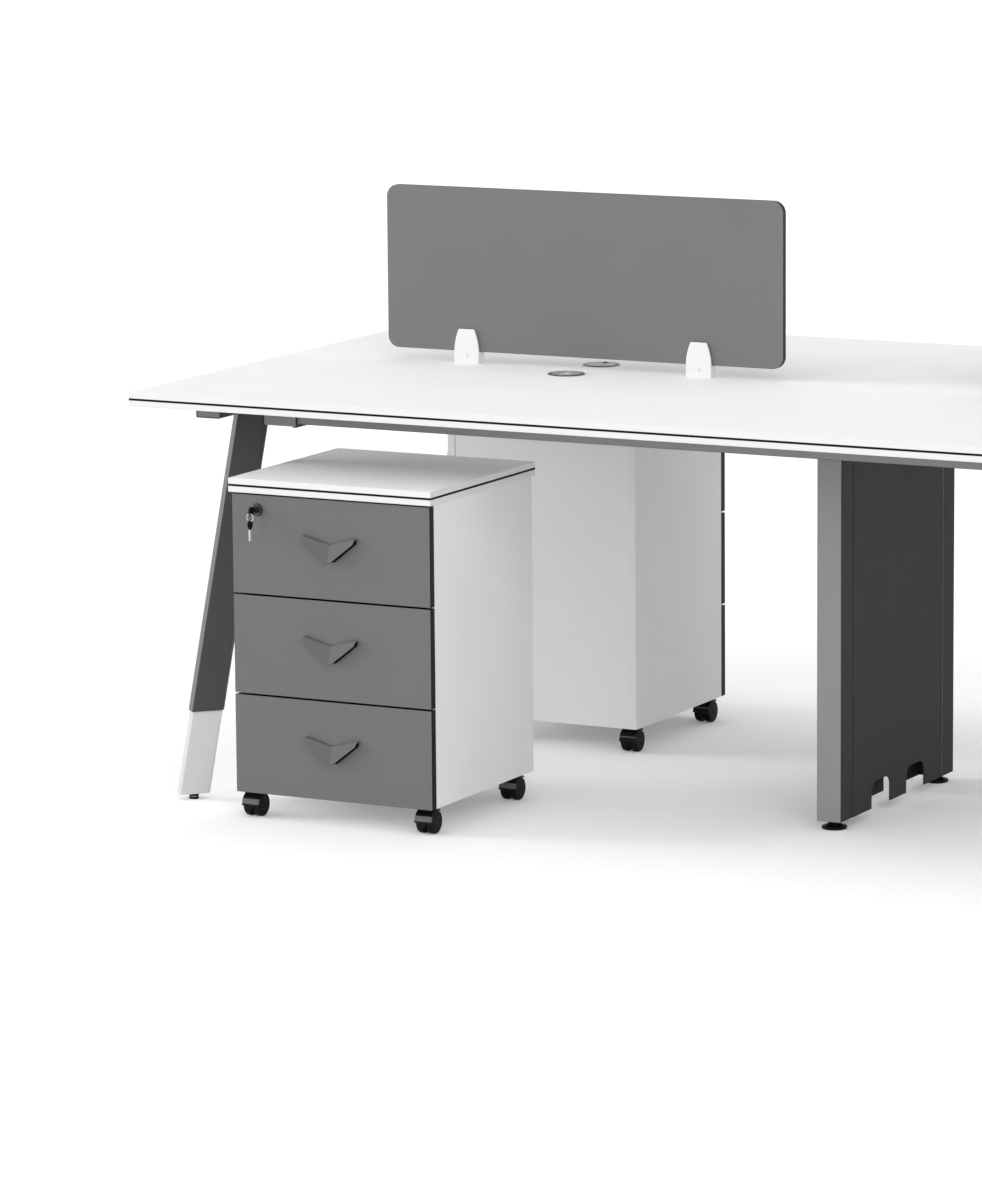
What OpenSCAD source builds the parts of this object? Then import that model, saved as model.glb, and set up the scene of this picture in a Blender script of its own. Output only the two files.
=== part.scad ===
// Bench workstation for four people, back to back, with two mobile pedestals.
// Millimetres. X runs along the worktop, the front is -Y, Z is up.
// Origin: on the floor under the centre of the worktop.

/* [Worktop] */
// Length of the worktop, two bays
desk_l = 2400; // [2200:50:3000]
// Depth of the worktop, both sides together
desk_d = 1200; // [1150:10:1500]
// Height of the working surface
desk_h = 750; // [720:5:800]
// Board thickness of the worktop
top_t = 25; // [22:1:30]
// Height of the dark line in the edges
inlay_h = 4; // [2:0.5:5]
// Depth of the groove that holds the line
inlay_deep = 3; // [2:0.5:5]

/* [Screens] */
// Length of one screen
screen_l = 800; // [600:10:1000]
// Height of one screen
screen_h = 300; // [200:10:450]
// Thickness of a screen
screen_t = 12; // [10:1:18]
// Radius of the screen corners
screen_r = 22; // [10:1:40]
// Gap between worktop and screen
screen_lift = 22; // [16:1:30]
// Distance between the two clamps of a screen
clamp_pitch = 470; // [300:10:560]
// Width of a clamp at its foot
clamp_w = 50; // [40:1:60]
// Width of a clamp at its head
clamp_head = 32; // [24:1:38]
// Height of a clamp above the worktop
clamp_h = 63; // [50:1:80]
// Thickness of one clamp cheek
clamp_cheek = 5; // [4:0.5:8]

/* [Grommets] */
// Diameter of the hole in the worktop
grommet_hole = 60; // [50:1:70]
// Width of the rim that lies on the worktop
grommet_rim = 4; // [3:0.5:8]
// Height of the rim
grommet_h = 2; // [1.5:0.5:4]
// Distance of a grommet from the screen plane
grommet_y = 70; // [60:1:120]
// Distance of the grommets from the middle of the bay
grommet_x = 0; // [0:1:60]

/* [Frame] */
// Width of the crossbars
bar_w = 48; // [40:1:60]
// Height of the crossbars
bar_h = 20; // [16:1:30]
// Distance from the worktop edge to the end of a crossbar at the worktop ends
bar_in = 50; // [30:5:100]
// Depth of a long beam
beam_w = 40; // [30:1:50]
// Height of a long beam
beam_h = 25; // [20:1:30]
// Distance from the worktop edge to the face of a long beam
beam_in = 200; // [195:1:205]
// Wall of the frame tubes
tube_wall = 2; // [1.5:0.5:3]
// Length of a beam socket
socket_l = 66; // [50:1:90]
// Wall of a beam socket
socket_wall = 4; // [3:0.5:6]

/* [End legs] */
// Long side of the leg tube, seen from above
leg_l = 60; // [54:1:66]
// Short side of the leg tube
leg_w = 28; // [24:1:34]
// Bevel on the inner edges of the leg tube
leg_bevel = 6; // [3:0.5:8]
// Sideways lean per unit of height, in X and in Y alike
leg_lean = 0.1235; // [0.1:0.005:0.14]
// Distance from worktop end to the foot
foot_x = 52; // [44:1:58]
// Distance from worktop edge to the foot
foot_y = 112; // [108:1:126]
// Height at which the grey tube ends
shoe_h = 161; // [100:1:220]
// Height of the shoe above the floor
shoe_z = 10; // [8:1:20]
// Depth of the shoe inside the tube
shoe_in = 45; // [30:5:80]

/* [Middle leg] */
// Width of the middle leg
mid_w = 46; // [40:1:60]
// Depth of the whole middle leg
mid_d = 500; // [440:5:560]
// Depth of one column
col_d = 52; // [40:1:60]
// Height of the columns above the floor
col_z = 16; // [12:1:24]
// Thickness of a cover panel
panel_t = 2; // [1:0.5:3]
// Depth of the folded edges of a cover panel
panel_fold = 14; // [8:1:18]
// Width of a cable cut-out
cut_w = 80; // [60:1:100]
// Height of a cable cut-out above the panel edge
cut_h = 47; // [30:1:70]
// Distance of a cut-out from the middle
cut_y = 76; // [60:1:100]
// Corner radius of a cut-out
cut_r = 18; // [8:1:25]

/* [Glides] */
// Diameter of the large glides
glide_d = 45; // [36:1:50]
// Diameter of the small glides
small_glide_d = 18; // [16:1:22]
// Thickness of a glide disc
glide_t = 5; // [4:0.5:7]

/* [Pedestals] */
// Position of both pedestals along the worktop, from the middle leg
ped_x = -797; // [-830:1:-320]
// Width of the pedestal carcass
ped_w = 394; // [360:2:440]
// Depth of the pedestal carcass with its drawer fronts
ped_d = 386; // [380:2:440]
// Space between a pedestal and the beams over it
ped_clear = 70; // [40:5:100]
// Overhang of the pedestal top
ped_over = 5; // [2:1:8]
// Thickness of the pedestal top
ped_top_t = 25; // [22:1:30]
// Board thickness of the carcass and fronts
board = 16; // [15:0.5:19]
// Height of the carcass above the floor
ped_z = 47; // [46.5:0.5:56]
// Gap round the drawer fronts
front_gap = 3; // [2:0.5:4]
// Travel of a drawer
drawer_travel = 300; // [200:10:330]

/* [Drawers] */
// Thickness of the drawer box boards
box_t = 12; // [9:0.5:15]
// Thickness of the drawer base
base_t = 5; // [3:0.5:8]
// Space between a drawer box and the back
box_back = 22; // [16:1:50]
// Space under the box, above the lower edge of its front
box_low = 18; // [12:1:25]
// Space over the box, below the upper edge of its front
box_top = 40; // [36:1:60]
// Thickness of one slide member
slide_t = 6; // [5:0.5:7]
// Height of the fixed slide member
slide_h = 36; // [30:1:45]

/* [Handle] */
// Width of the handle
pull_w = 106; // [80:1:140]
// Height of the handle
pull_h = 44; // [30:1:60]
// How far the lower edge stands out
pull_out = 14; // [10:1:18]
// Thickness of the folded plate
pull_t = 3; // [2:0.5:4]
// Rise of the wing tips above the notch
pull_rise = 14.5; // [8:0.5:20]

/* [Lock] */
// Distance of the lock from the side of the front
lock_x = 51; // [44:1:60]
// Distance of the lock below the upper edge of the front
lock_z = 26; // [24:1:28]
// Diameter of the lock rim
lock_d = 22; // [19:1:24]
// Diameter of the turning plug
plug_d = 10; // [9:0.5:11]
// Length of the cam from the plug axis
cam_l = 22; // [20:1:23]

/* [Casters] */
// Wheel diameter
wheel_d = 42; // [38:1:42]
// Width of one wheel
wheel_w = 12.5; // [11:0.5:13.5]
// Width of the hood web between the wheels
web_w = 8; // [6:0.5:9]
// Distance of the caster stem from the side of the pedestal
cast_x = 23; // [23:1:40]
// Distance of the caster stem from front and back
cast_y = 34; // [32:1:50]
// Offset of the axle from the stem
cast_trail = 4; // [0:1:8]
// Stem diameter
stem_d = 8; // [6:0.5:9]

/* [Hidden] */

$fn = 48;
// small clearances
seat = 0.1;      // between glued or screwed pieces that stand still
run = 0.05;      // radial play of a turning fit
slip = 0.3;      // between pieces that slide past each other

// colours
white = "#f4f4f4";
grey = "#7c7c7c";
dark = "#4a4a4a";
black = "#262626";
steel = "#c8c8c8";
zinc = "#b4b6b8";

// levels of the desk frame
top_z = desk_h - top_t;
bar_z = top_z - bar_h;
beam_z = bar_z - beam_h;
bay = desk_l / 2;
beam_y = desk_d / 2 - beam_in - beam_w / 2;
mid_bar = 2 * beam_y + beam_w - 4;

// leg axis: plan position at height z for the leg in the +X +Y quarter
function leg_px(z) = desk_l / 2 - foot_x - leg_lean * z;
function leg_py(z) = desk_d / 2 - foot_y - leg_lean * z;
bar_x = leg_px(bar_z) + 6;
inner_corner = (leg_l / 2 - leg_bevel) * sqrt(0.5) + leg_w / 2 * sqrt(0.5);
socket_x = leg_px(bar_z) - inner_corner + 3;

// pedestal levels, in its own frame: front is -Y, origin on the floor under its centre
ped_h = beam_z - ped_clear;
ped_y = desk_d / 2 - ped_over - ped_d / 2;
ped_top_z = ped_h - ped_top_t;
face_y = -ped_d / 2;
front_back = face_y + board;
side_y = front_back + 1;
in_w = ped_w / 2 - board;
front_h = (ped_top_z - ped_z - 3 * front_gap) / 3;
rail_x = in_w - slide_t;
slide_x = rail_x - 0.5 - slide_t;
box_x = slide_x - seat;
box_h = front_h - box_low - box_top;
box_l = ped_d / 2 - board - box_back - front_back - seat;
function front_z(n) = ped_z + (3 - n) * (front_h + front_gap);
lock_px = -(ped_w / 2 - lock_x);
lock_pz = front_z(1) + front_h - lock_z;

// caster levels
wheel_r = wheel_d / 2;
hood_gap = 0.6;
hood_t = 2.4;
hood_r = wheel_r + hood_gap + hood_t;
cast_w = web_w + 2 * wheel_w + 2 * slip;
socket_t = 1.2;

// ---------- helpers ----------

// a frame-shaped strip round a board, outer size w x d
module ring_strip(w, d, deep, h) {
    difference() {
        translate([-w / 2, -d / 2, 0]) cube([w, d, h]);
        translate([-w / 2 + deep, -d / 2 + deep, -1]) cube([w - 2 * deep, d - 2 * deep, h + 2]);
    }
}

// a board with a groove round its edge at mid thickness
module grooved_board(w, d, t) {
    difference() {
        translate([-w / 2, -d / 2, 0]) cube([w, d, t]);
        translate([0, 0, (t - inlay_h) / 2]) ring_strip(w + 2, d + 2, inlay_deep + 1, inlay_h);
    }
}

// the dark line that fills such a groove
module groove_line(w, d, t) {
    translate([0, 0, (t - inlay_h) / 2 + seat])
        ring_strip(w - 0.8, d - 0.8, inlay_deep - 0.4 - seat, inlay_h - 2 * seat);
}

// ---------- desk ----------

module worktop() {
    color(white)
    difference() {
        translate([0, 0, top_z]) grooved_board(desk_l, desk_d, top_t);
        for (b = [-1, 1], s = [-1, 1])
            translate([b * bay / 2 - grommet_x, s * grommet_y, top_z - 1])
                cylinder(d = grommet_hole, h = top_t + 2);
    }
}

module worktop_inlay() {
    color(dark) translate([0, 0, top_z]) groove_line(desk_l, desk_d, top_t);
}

// upright plate with round corners, centred in X, standing on z = 0
module round_plate(l, h, t, r) {
    translate([0, t / 2, 0]) rotate([90, 0, 0]) linear_extrude(t) union() {
        translate([-l / 2 + r, 0]) square([l - 2 * r, h]);
        translate([-l / 2, r]) square([l, h - 2 * r]);
        for (x = [-l / 2 + r, l / 2 - r], z = [r, h - r]) translate([x, z]) circle(r);
    }
}

module screens() {
    color(grey)
    for (b = [-1, 1])
        translate([b * bay / 2, 0, desk_h + screen_lift]) round_plate(screen_l, screen_h, screen_t, screen_r);
}

// outline of a clamp seen from the front: straight foot, head drawn in by a gentle curve
clamp_foot = 24;
head_r = 2.5;
function clamp_half(z) = z < clamp_foot ? clamp_w / 2
    : clamp_w / 2 - (clamp_w - clamp_head) / 2 * pow((z - clamp_foot) / (clamp_h - clamp_foot), 1.4);
clamp_steps = [0, clamp_foot, 30, 36, 42, 48, 54, clamp_h - head_r * 0.6];
module clamp_outline() {
    top_half = clamp_half(clamp_h) - head_r * 0.5;
    polygon(concat(
        [for (z = clamp_steps) [clamp_half(z), z]],
        [[top_half, clamp_h], [-top_half, clamp_h]],
        [for (i = [len(clamp_steps) - 1:-1:0]) [-clamp_half(clamp_steps[i]), clamp_steps[i]]]));
}

module one_clamp() {
    depth = screen_t + 2 * slip + 2 * clamp_cheek;
    difference() {
        translate([0, depth / 2, 0]) rotate([90, 0, 0]) linear_extrude(depth) clamp_outline();
        translate([-clamp_w, -screen_t / 2 - slip, screen_lift - seat])
            cube([2 * clamp_w, screen_t + 2 * slip, clamp_h]);
        translate([3, -depth / 2 + 2, 14]) rotate([90, 0, 0]) cylinder(d = 6, h = 4);
    }
    translate([3, -depth / 2 + 1.9, 14]) rotate([90, 0, 0]) cylinder(d = 5.6, h = 1.4);
}

module screen_clamps() {
    color(white)
    for (b = [-1, 1], s = [-1, 1])
        translate([b * bay / 2 + s * clamp_pitch / 2, 0, desk_h]) one_clamp();
}

// ring with a rim, and a lid with a slot for the cables
module one_grommet() {
    rim_d = grommet_hole + 2 * grommet_rim;
    barrel = grommet_hole - 2 * seat;
    lid_d = barrel - 6;
    translate([0, 0, desk_h]) rotate_extrude() polygon([
        [barrel / 2 - 2, -18], [barrel / 2, -18], [barrel / 2, 0], [rim_d / 2, 0],
        [rim_d / 2, grommet_h - 1], [rim_d / 2 - 1, grommet_h], [lid_d / 2 + seat, grommet_h],
        [lid_d / 2 + seat, grommet_h - 2.5], [lid_d / 2 - 1.5, grommet_h - 2.5],
        [lid_d / 2 - 1.5, grommet_h - 4], [barrel / 2 - 2, grommet_h - 4]]);
    translate([0, 0, desk_h + grommet_h - 2.4]) difference() {
        cylinder(d = lid_d, h = 2.4);
        translate([2, 0, -1]) union() {
            cylinder(d = 13, h = 5);
            translate([-6.5, -lid_d, 0]) cube([13, lid_d, 5]);
        }
    }
}

module cable_grommets() {
    color(zinc)
    for (b = [-1, 1], s = [-1, 1])
        translate([b * bay / 2 - grommet_x, s * grommet_y, 0]) rotate([0, 0, s > 0 ? 180 : 0]) one_grommet();
}

// ---------- frame ----------

// section of the leg tube: the outer face is flat, the inner edges are bevelled
module leg_section(off, bevel) {
    l = leg_l / 2 - off;
    w = leg_w / 2 - off;
    polygon([[-l, -w], [l - bevel, -w], [l, -w + bevel], [l, w - bevel], [l - bevel, w], [-l, w]]);
}

// leaning leg in the +X +Y quarter between two heights
module leg_prism(off, bevel, z0, z1) {
    intersection() {
        translate([leg_px(0), leg_py(0), 0]) rotate([0, 0, 225]) rotate([0, atan(leg_lean * sqrt(2)), 0])
            translate([0, 0, -leg_l]) linear_extrude(z1 + 4 * leg_l) leg_section(off, bevel);
        translate([0, 0, z0]) cube([desk_l, desk_d, z1 - z0]);
    }
}

module leg_tube() {
    difference() {
        leg_prism(0, leg_bevel, shoe_h, bar_z);
        leg_prism(tube_wall, leg_bevel - tube_wall, shoe_h - 1, bar_z - 3);
    }
}

// socket that takes the end of a long beam, open towards the middle leg
module beam_socket() {
    w = beam_w / 2 + socket_wall;
    difference() {
        union() {
            translate([socket_x - socket_l, beam_y - w, beam_z - socket_wall])
                cube([socket_l, 2 * w, beam_h + 2 * socket_wall]);
            translate([socket_x - socket_l, beam_y - w - 2, beam_z - socket_wall - 2])
                cube([7, 2 * w + 4, beam_h + 2 * socket_wall + 4]);
        }
        translate([socket_x - socket_l - 1, beam_y - beam_w / 2 - seat, beam_z - seat])
            cube([socket_l + 1 - socket_wall, beam_w + 2 * seat, beam_h + 2 * seat]);
    }
}

module end_frame() {
    translate([bar_x - bar_w / 2, -desk_d / 2 + bar_in, bar_z]) cube([bar_w, desk_d - 2 * bar_in, bar_h]);
    for (m = [0, 1]) mirror([0, m, 0]) {
        leg_tube();
        beam_socket();
    }
}

module end_frame_right() color(dark) end_frame();
module end_frame_left() color(dark) mirror([1, 0, 0]) end_frame();

module leg_shoe() {
    off = tube_wall + slip;
    difference() {
        leg_prism(off, leg_bevel - tube_wall, shoe_z, shoe_h + shoe_in);
        translate([leg_px(shoe_z), leg_py(shoe_z), shoe_z - 1]) cylinder(d = 8 + 2 * seat, h = 27);
    }
}

module leg_shoes() {
    color(white)
    for (m = [0, 1], n = [0, 1]) mirror([m, 0, 0]) mirror([0, n, 0]) leg_shoe();
}

module long_beams() {
    half = socket_x - socket_wall - 2 * seat;
    color(dark)
    for (s = [-1, 1]) difference() {
        translate([-half, s * beam_y - beam_w / 2, beam_z]) cube([2 * half, beam_w, beam_h - seat]);
        translate([-half - 1, s * beam_y - beam_w / 2 + tube_wall, beam_z + tube_wall])
            cube([2 * half + 2, beam_w - 2 * tube_wall, beam_h - seat - 2 * tube_wall]);
    }
}

module column() {
    difference() {
        translate([-mid_w / 2, mid_d / 2 - col_d, col_z]) cube([mid_w, col_d, bar_z - col_z]);
        translate([-mid_w / 2 + tube_wall, mid_d / 2 - col_d + tube_wall, col_z + 6])
            cube([mid_w - 2 * tube_wall, col_d - 2 * tube_wall, bar_z - col_z - 10]);
        translate([0, mid_d / 2 - col_d / 2, col_z - 1]) cylinder(d = 10 + 2 * seat, h = 10);
    }
}

module middle_leg_frame() {
    color(dark) union() {
        translate([-bar_w / 2, -mid_bar / 2, bar_z]) cube([bar_w, mid_bar, bar_h]);
        for (m = [0, 1]) mirror([0, m, 0]) column();
    }
}

// arched opening, drawn in Y and Z, cut through along X
module cable_arch() {
    rotate([90, 0, 90]) translate([0, 0, -1]) linear_extrude(panel_t + 3) union() {
        translate([-cut_w / 2, -1]) square([cut_w, cut_h - cut_r + 1]);
        translate([-cut_w / 2 + cut_r, -1]) square([cut_w - 2 * cut_r, cut_h + 1]);
        for (y = [-1, 1]) translate([y * (cut_w / 2 - cut_r), cut_h - cut_r]) circle(cut_r);
    }
}

panel_gap = 0.7;
module cover_panel() {
    half = mid_d / 2 - col_d - panel_gap;
    tall = bar_z - col_z - seat;
    translate([0, 0, col_z]) {
        difference() {
            translate([mid_w / 2 - panel_t, -half, 0]) cube([panel_t, 2 * half, tall]);
            for (y = [-cut_y, cut_y]) translate([mid_w / 2 - panel_t - 1, y, 0]) cable_arch();
        }
        for (s = [-1, 1])
            translate([mid_w / 2 - panel_fold, s > 0 ? half - panel_t : -half, 0])
                cube([panel_fold - panel_t / 2, panel_t, tall]);
    }
}

module middle_leg_panels() {
    color(dark)
    for (m = [0, 1]) mirror([m, 0, 0]) cover_panel();
}

module levelling_glides() {
    color(black) {
        for (s = [-1, 1]) translate([0, s * (mid_d / 2 - col_d / 2), 0]) {
            cylinder(d1 = glide_d - 3, d2 = glide_d, h = 1.5);
            translate([0, 0, 1.5]) cylinder(d = glide_d, h = glide_t - 1.5);
            translate([0, 0, glide_t]) cylinder(d1 = glide_d - 8, d2 = 26, h = 3);
            translate([0, 0, glide_t]) cylinder(d = 24, h = col_z - glide_t - seat);
            cylinder(d = 10, h = col_z + 24);
        }
        for (m = [0, 1], n = [0, 1]) mirror([m, 0, 0]) mirror([0, n, 0])
            translate([leg_px(shoe_z), leg_py(shoe_z), 0]) {
                cylinder(d = small_glide_d, h = shoe_z * 0.4);
                cylinder(d = small_glide_d - 4, h = shoe_z - seat);
                translate([0, 0, shoe_z * 0.56]) cylinder(d = small_glide_d, h = shoe_z * 0.44 - seat);
                cylinder(d = 8, h = shoe_z + 24);
            }
    }
}

// ---------- pedestal, in its own frame ----------

strike_t = 9;
strike_h = 18;
module ped_carcass() {
    color(white) {
        for (s = [-1, 1])
            translate([s > 0 ? in_w : -ped_w / 2, side_y, ped_z])
                cube([board, ped_d / 2 - side_y, ped_top_z - ped_z - seat]);
        // bottom with the four bores of the caster sockets
        difference() {
            translate([-in_w + seat, side_y, ped_z])
                cube([2 * (in_w - seat), ped_d / 2 - board - seat - side_y, board]);
            for (x = [-1, 1], y = [-1, 1])
                translate([x * (ped_w / 2 - cast_x), y * (ped_d / 2 - cast_y), ped_z - 1])
                    cylinder(d = sleeve_d + 2 * seat, h = board + 2);
        }
        // back, set between the sides
        translate([-in_w + seat, ped_d / 2 - board, ped_z])
            cube([2 * (in_w - seat), board - 0.5, ped_top_z - ped_z - seat]);
        // rail under the top that the cam locks behind
        translate([-in_w + seat, side_y, ped_top_z - strike_h])
            cube([2 * (in_w - seat), strike_t, strike_h - seat]);
    }
}

module ped_top() {
    color(white) translate([0, 0, ped_top_z]) grooved_board(ped_w + 2 * ped_over, ped_d + 2 * ped_over, ped_top_t);
}

module ped_inlay() {
    color(dark) translate([0, 0, ped_top_z]) groove_line(ped_w + 2 * ped_over, ped_d + 2 * ped_over, ped_top_t);
}

function box_z(n) = front_z(n) + box_low;
slide_y = side_y + 1;

module ped_rails() {
    color(steel)
    for (n = [1, 2, 3], s = [0, 1]) mirror([s, 0, 0])
        translate([rail_x, slide_y, box_z(n) + (box_h - slide_h) / 2]) difference() {
            cube([slide_t - seat, box_l, slide_h]);
            // groove of the ball race
            translate([-1, -1, slide_h / 2 - 4]) cube([3, box_l + 2, 8]);
        }
}

module ped_front(n) {
    color(grey)
    difference() {
        translate([-ped_w / 2, face_y, front_z(n)]) cube([ped_w, board, front_h]);
        if (n == 1)
            translate([lock_px, face_y - 1, lock_pz]) rotate([-90, 0, 0]) cylinder(d = barrel_d + 2 * seat, h = board + 2);
    }
}

module ped_box(n) {
    y0 = front_back + seat;
    z0 = box_z(n);
    inner = box_x - box_t - seat;
    color(zinc) {
        for (s = [0, 1]) mirror([s, 0, 0]) {
            translate([box_x - box_t, y0, z0]) cube([box_t, box_l, box_h]);
            // moving slide member, with the rib that runs in the race
            translate([slide_x, y0 + 1, z0 + box_h / 2 - slide_h / 2 + 3]) cube([slide_t, box_l - 1, slide_h - 6]);
        }
        for (y = [y0, y0 + box_l - box_t]) translate([-inner, y, z0]) cube([2 * inner, box_t, box_h]);
        translate([-inner, y0 + box_t + seat, z0 + 6])
            cube([2 * inner, box_l - 2 * box_t - 2 * seat, base_t]);
    }
}

// folded V handle: two wings that stand out most along their lower edges
pull_root = 4;
pull_tip = 9;
pull_flat = 7;
pull_end = 10;
notch_z = pull_h / 2 - pull_rise;
slope_z = (pull_root - pull_out + pull_flat * (pull_tip - pull_root) / (pull_w / 2))
    / (pull_h - pull_rise + pull_flat * pull_rise / (pull_w / 2));
slope_x = (pull_tip - pull_root - slope_z * pull_rise) / (pull_w / 2);
function pull_depth(p) = pull_root + slope_x * p[0] + slope_z * (p[1] - notch_z);

// prism over a flat outline, from y = 0 out to the slanted face less t
module slanted(pts, t) {
    n = len(pts);
    polyhedron(
        points = concat([for (p = pts) [p[0], 0, p[1]]], [for (p = pts) [p[0], -(pull_depth(p) - t), p[1]]]),
        faces = concat([[for (i = [0:n - 1]) i]], [[for (i = [n - 1:-1:0]) n + i]],
            [for (i = [0:n - 1]) [i, n + i, n + (i + 1) % n, (i + 1) % n]]));
}

module pull_wing() {
    w = pull_w / 2;
    h = pull_h / 2;
    difference() {
        slanted([[0, notch_z], [0, -h], [pull_flat, -h], [w - 3, h - pull_end], [w, h - 3], [w - 1, h]], 0);
        // finger space behind the plate, open downwards
        translate([0, 1, 0]) slanted([[-1, notch_z - 9], [-1, -h - 4], [pull_flat + 6, -h - 4],
            [w - 2, h - pull_end - 6], [w - 12, h - pull_end - 2]], pull_t - 1);
    }
}

module ped_handle(n) {
    color(grey) translate([0, face_y - seat, front_z(n) + front_h / 2 + 2]) union() {
        pull_wing();
        mirror([1, 0, 0]) pull_wing();
    }
}

barrel_d = 16;
barrel_back = front_back + 8;
cam_y = side_y + strike_t + 1;
module ped_lock() {
    color(black) translate([lock_px, 0, lock_pz]) rotate([-90, 0, 0]) difference() {
        union() {
            translate([0, 0, face_y - 4]) cylinder(d1 = lock_d - 3, d2 = lock_d, h = 1.5);
            translate([0, 0, face_y - 2.5]) cylinder(d = lock_d, h = 2.5 - seat);
            translate([0, 0, face_y - 2]) cylinder(d = barrel_d, h = barrel_back - face_y + 2);
        }
        // countersunk mouth, then the bore of the plug
        translate([0, 0, face_y - 4.1]) cylinder(d1 = lock_d - 7, d2 = plug_d + 2 * run, h = 1.6);
        translate([0, 0, face_y - 5]) cylinder(d = plug_d + 2 * run, h = barrel_back - face_y + 9);
    }
}

// a key that hangs or sits in the YZ plane, its bow centre at the origin, blade along -Z
bow_d = 16.5;
key_hole = 4.6;
module flat_key(blade, side, up) {
    difference() {
        union() {
            rotate([0, 90, 0]) cylinder(d = bow_d, h = 2.4, center = true);
            translate([-1, -4, 1 - bow_d / 2 - blade]) cube([2, 8, blade]);
        }
        translate([0, side, up]) rotate([0, 90, 0]) cylinder(d = key_hole, h = 4, center = true);
    }
}

bow_y = face_y - 22;
wire = 1.6;
ring_r = 6.2;
hole_in = 4.8;
ring_drop = key_hole / 2 - wire / 2 - 0.3;
module ped_key() {
    color(black) translate([lock_px, 0, lock_pz]) {
        rotate([-90, 0, 0]) translate([0, 0, face_y - 3]) cylinder(d = plug_d, h = cam_y - face_y + 3 + 2.5);
        // cam behind the strike rail, lying flat while the drawer is unlocked
        translate([0, cam_y, -5]) cube([cam_l, 2.5, 10]);
        // key in the plug, bow standing upright
        translate([0, bow_y, 0]) rotate([90, 0, 0]) flat_key(13.5, -3, 4);
    }
    // wire ring through the bow, and the spare key on it
    hole_y = bow_y - 4;
    ring_z = lock_pz - 3 - ring_drop - ring_r;
    color(steel) translate([lock_px, hole_y, ring_z]) rotate([90, 0, 0])
        rotate_extrude($fn = 36) translate([ring_r, 0]) circle(d = wire, $fn = 14);
    color(black) translate([lock_px, hole_y, ring_z - ring_r - ring_drop - hole_in]) flat_key(22, 0, hole_in);
}

// ---------- casters ----------

sleeve_d = stem_d + 2;
plate_w = 3 * sleeve_d;
axle_d = 6;
module ped_sockets() {
    color(black)
    for (x = [-1, 1], y = [-1, 1])
        translate([x * (ped_w / 2 - cast_x), y * (ped_d / 2 - cast_y), ped_z]) difference() {
            union() {
                translate([-plate_w / 2, -plate_w / 2, -socket_t]) cube([plate_w, plate_w, socket_t - seat]);
                translate([0, 0, -socket_t]) cylinder(d = sleeve_d, h = board - 1 + socket_t);
            }
            translate([0, 0, -socket_t - 1]) cylinder(d = stem_d + 2 * run, h = board - 1 + socket_t);
        }
}

// caster places: 1 front left, 2 front right, 3 rear left, 4 rear right
function cast_pos(k) = [(k % 2 == 1 ? -1 : 1) * (ped_w / 2 - cast_x), (k < 3 ? -1 : 1) * (ped_d / 2 - cast_y), 0];

// hood: web between the wheels, fender over them, stem; its closed side looks to -Y
module hood() {
    top = ped_z - socket_t - slip;
    translate([0, -cast_trail, wheel_r]) difference() {
        union() {
            // web
            rotate([90, 0, 90]) translate([0, 0, -web_w / 2]) linear_extrude(web_w) intersection() {
                circle(hood_r - 0.5);
                translate([-hood_r, -8]) square([2 * hood_r - 6, 2 * hood_r]);
            }
            // fender
            rotate([90, 0, 90]) translate([0, 0, -cast_w / 2]) linear_extrude(cast_w) difference() {
                intersection() {
                    circle(hood_r);
                    polygon([[-2 * hood_r, 0], [-2 * hood_r, 2 * hood_r], [1.3 * hood_r, 2 * hood_r], [0, 0]]);
                }
                circle(wheel_r + hood_gap);
            }
        }
        rotate([0, 90, 0]) cylinder(d = axle_d + 2 * run, h = cast_w + 2, center = true);
    }
    translate([0, 0, wheel_d + slip]) cylinder(d = web_w + 9, h = top - 0.2 - wheel_d - slip);
    translate([0, 0, wheel_d + slip]) cylinder(d = stem_d, h = ped_z + board - 4 - wheel_d - slip);
}

module wheel_pair() {
    half = cast_w / 2 - slip;
    translate([0, -cast_trail, wheel_r]) rotate([0, 90, 0]) {
        for (m = [0, 1]) mirror([0, 0, m]) rotate_extrude() polygon([
            [0, web_w / 2 + slip], [wheel_r - 1, web_w / 2 + slip], [wheel_r, web_w / 2 + slip + 1],
            [wheel_r, half - 2.5], [wheel_r - 2.5, half - 0.6], [wheel_r - 5, half - 0.6],
            [wheel_r - 6, half - 1.6], [7, half - 0.4], [0, half]]);
        cylinder(d = axle_d, h = web_w + 2, center = true);
    }
}

module caster_at(k, turned) translate(cast_pos(k)) rotate([0, 0, turned ? 180 : 0]) children();

module ped_hood(k, turned) color(black) caster_at(k, turned) hood();
module ped_wheels(k, turned) color(black) caster_at(k, turned) wheel_pair();

// ---------- the two pedestals in place ----------

module ped1() translate([ped_x, -ped_y, 0]) children();
module ped2() translate([ped_x, ped_y, 0]) rotate([0, 0, 180]) children();

worktop();
worktop_inlay();
screens();
screen_clamps();
cable_grommets();
end_frame_left();
end_frame_right();
leg_shoes();
long_beams();
middle_leg_frame();
middle_leg_panels();
levelling_glides();
ped1() ped_carcass();  // ped1_carcass
ped1() ped_top();  // ped1_top
ped1() ped_inlay();  // ped1_inlay
ped1() ped_rails();  // ped1_rails
ped1() ped_front(1);  // ped1_front_1
ped1() ped_front(2);  // ped1_front_2
ped1() ped_front(3);  // ped1_front_3
ped1() ped_box(1);  // ped1_box_1
ped1() ped_box(2);  // ped1_box_2
ped1() ped_box(3);  // ped1_box_3
ped1() ped_handle(1);  // ped1_handle_1
ped1() ped_handle(2);  // ped1_handle_2
ped1() ped_handle(3);  // ped1_handle_3
ped1() ped_lock();  // ped1_lock
ped1() ped_key();  // ped1_key
ped1() ped_sockets();  // ped1_sockets
ped1() ped_hood(1, false);  // ped1_hood_1
ped1() ped_hood(2, false);  // ped1_hood_2
ped1() ped_hood(3, false);  // ped1_hood_3
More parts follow.
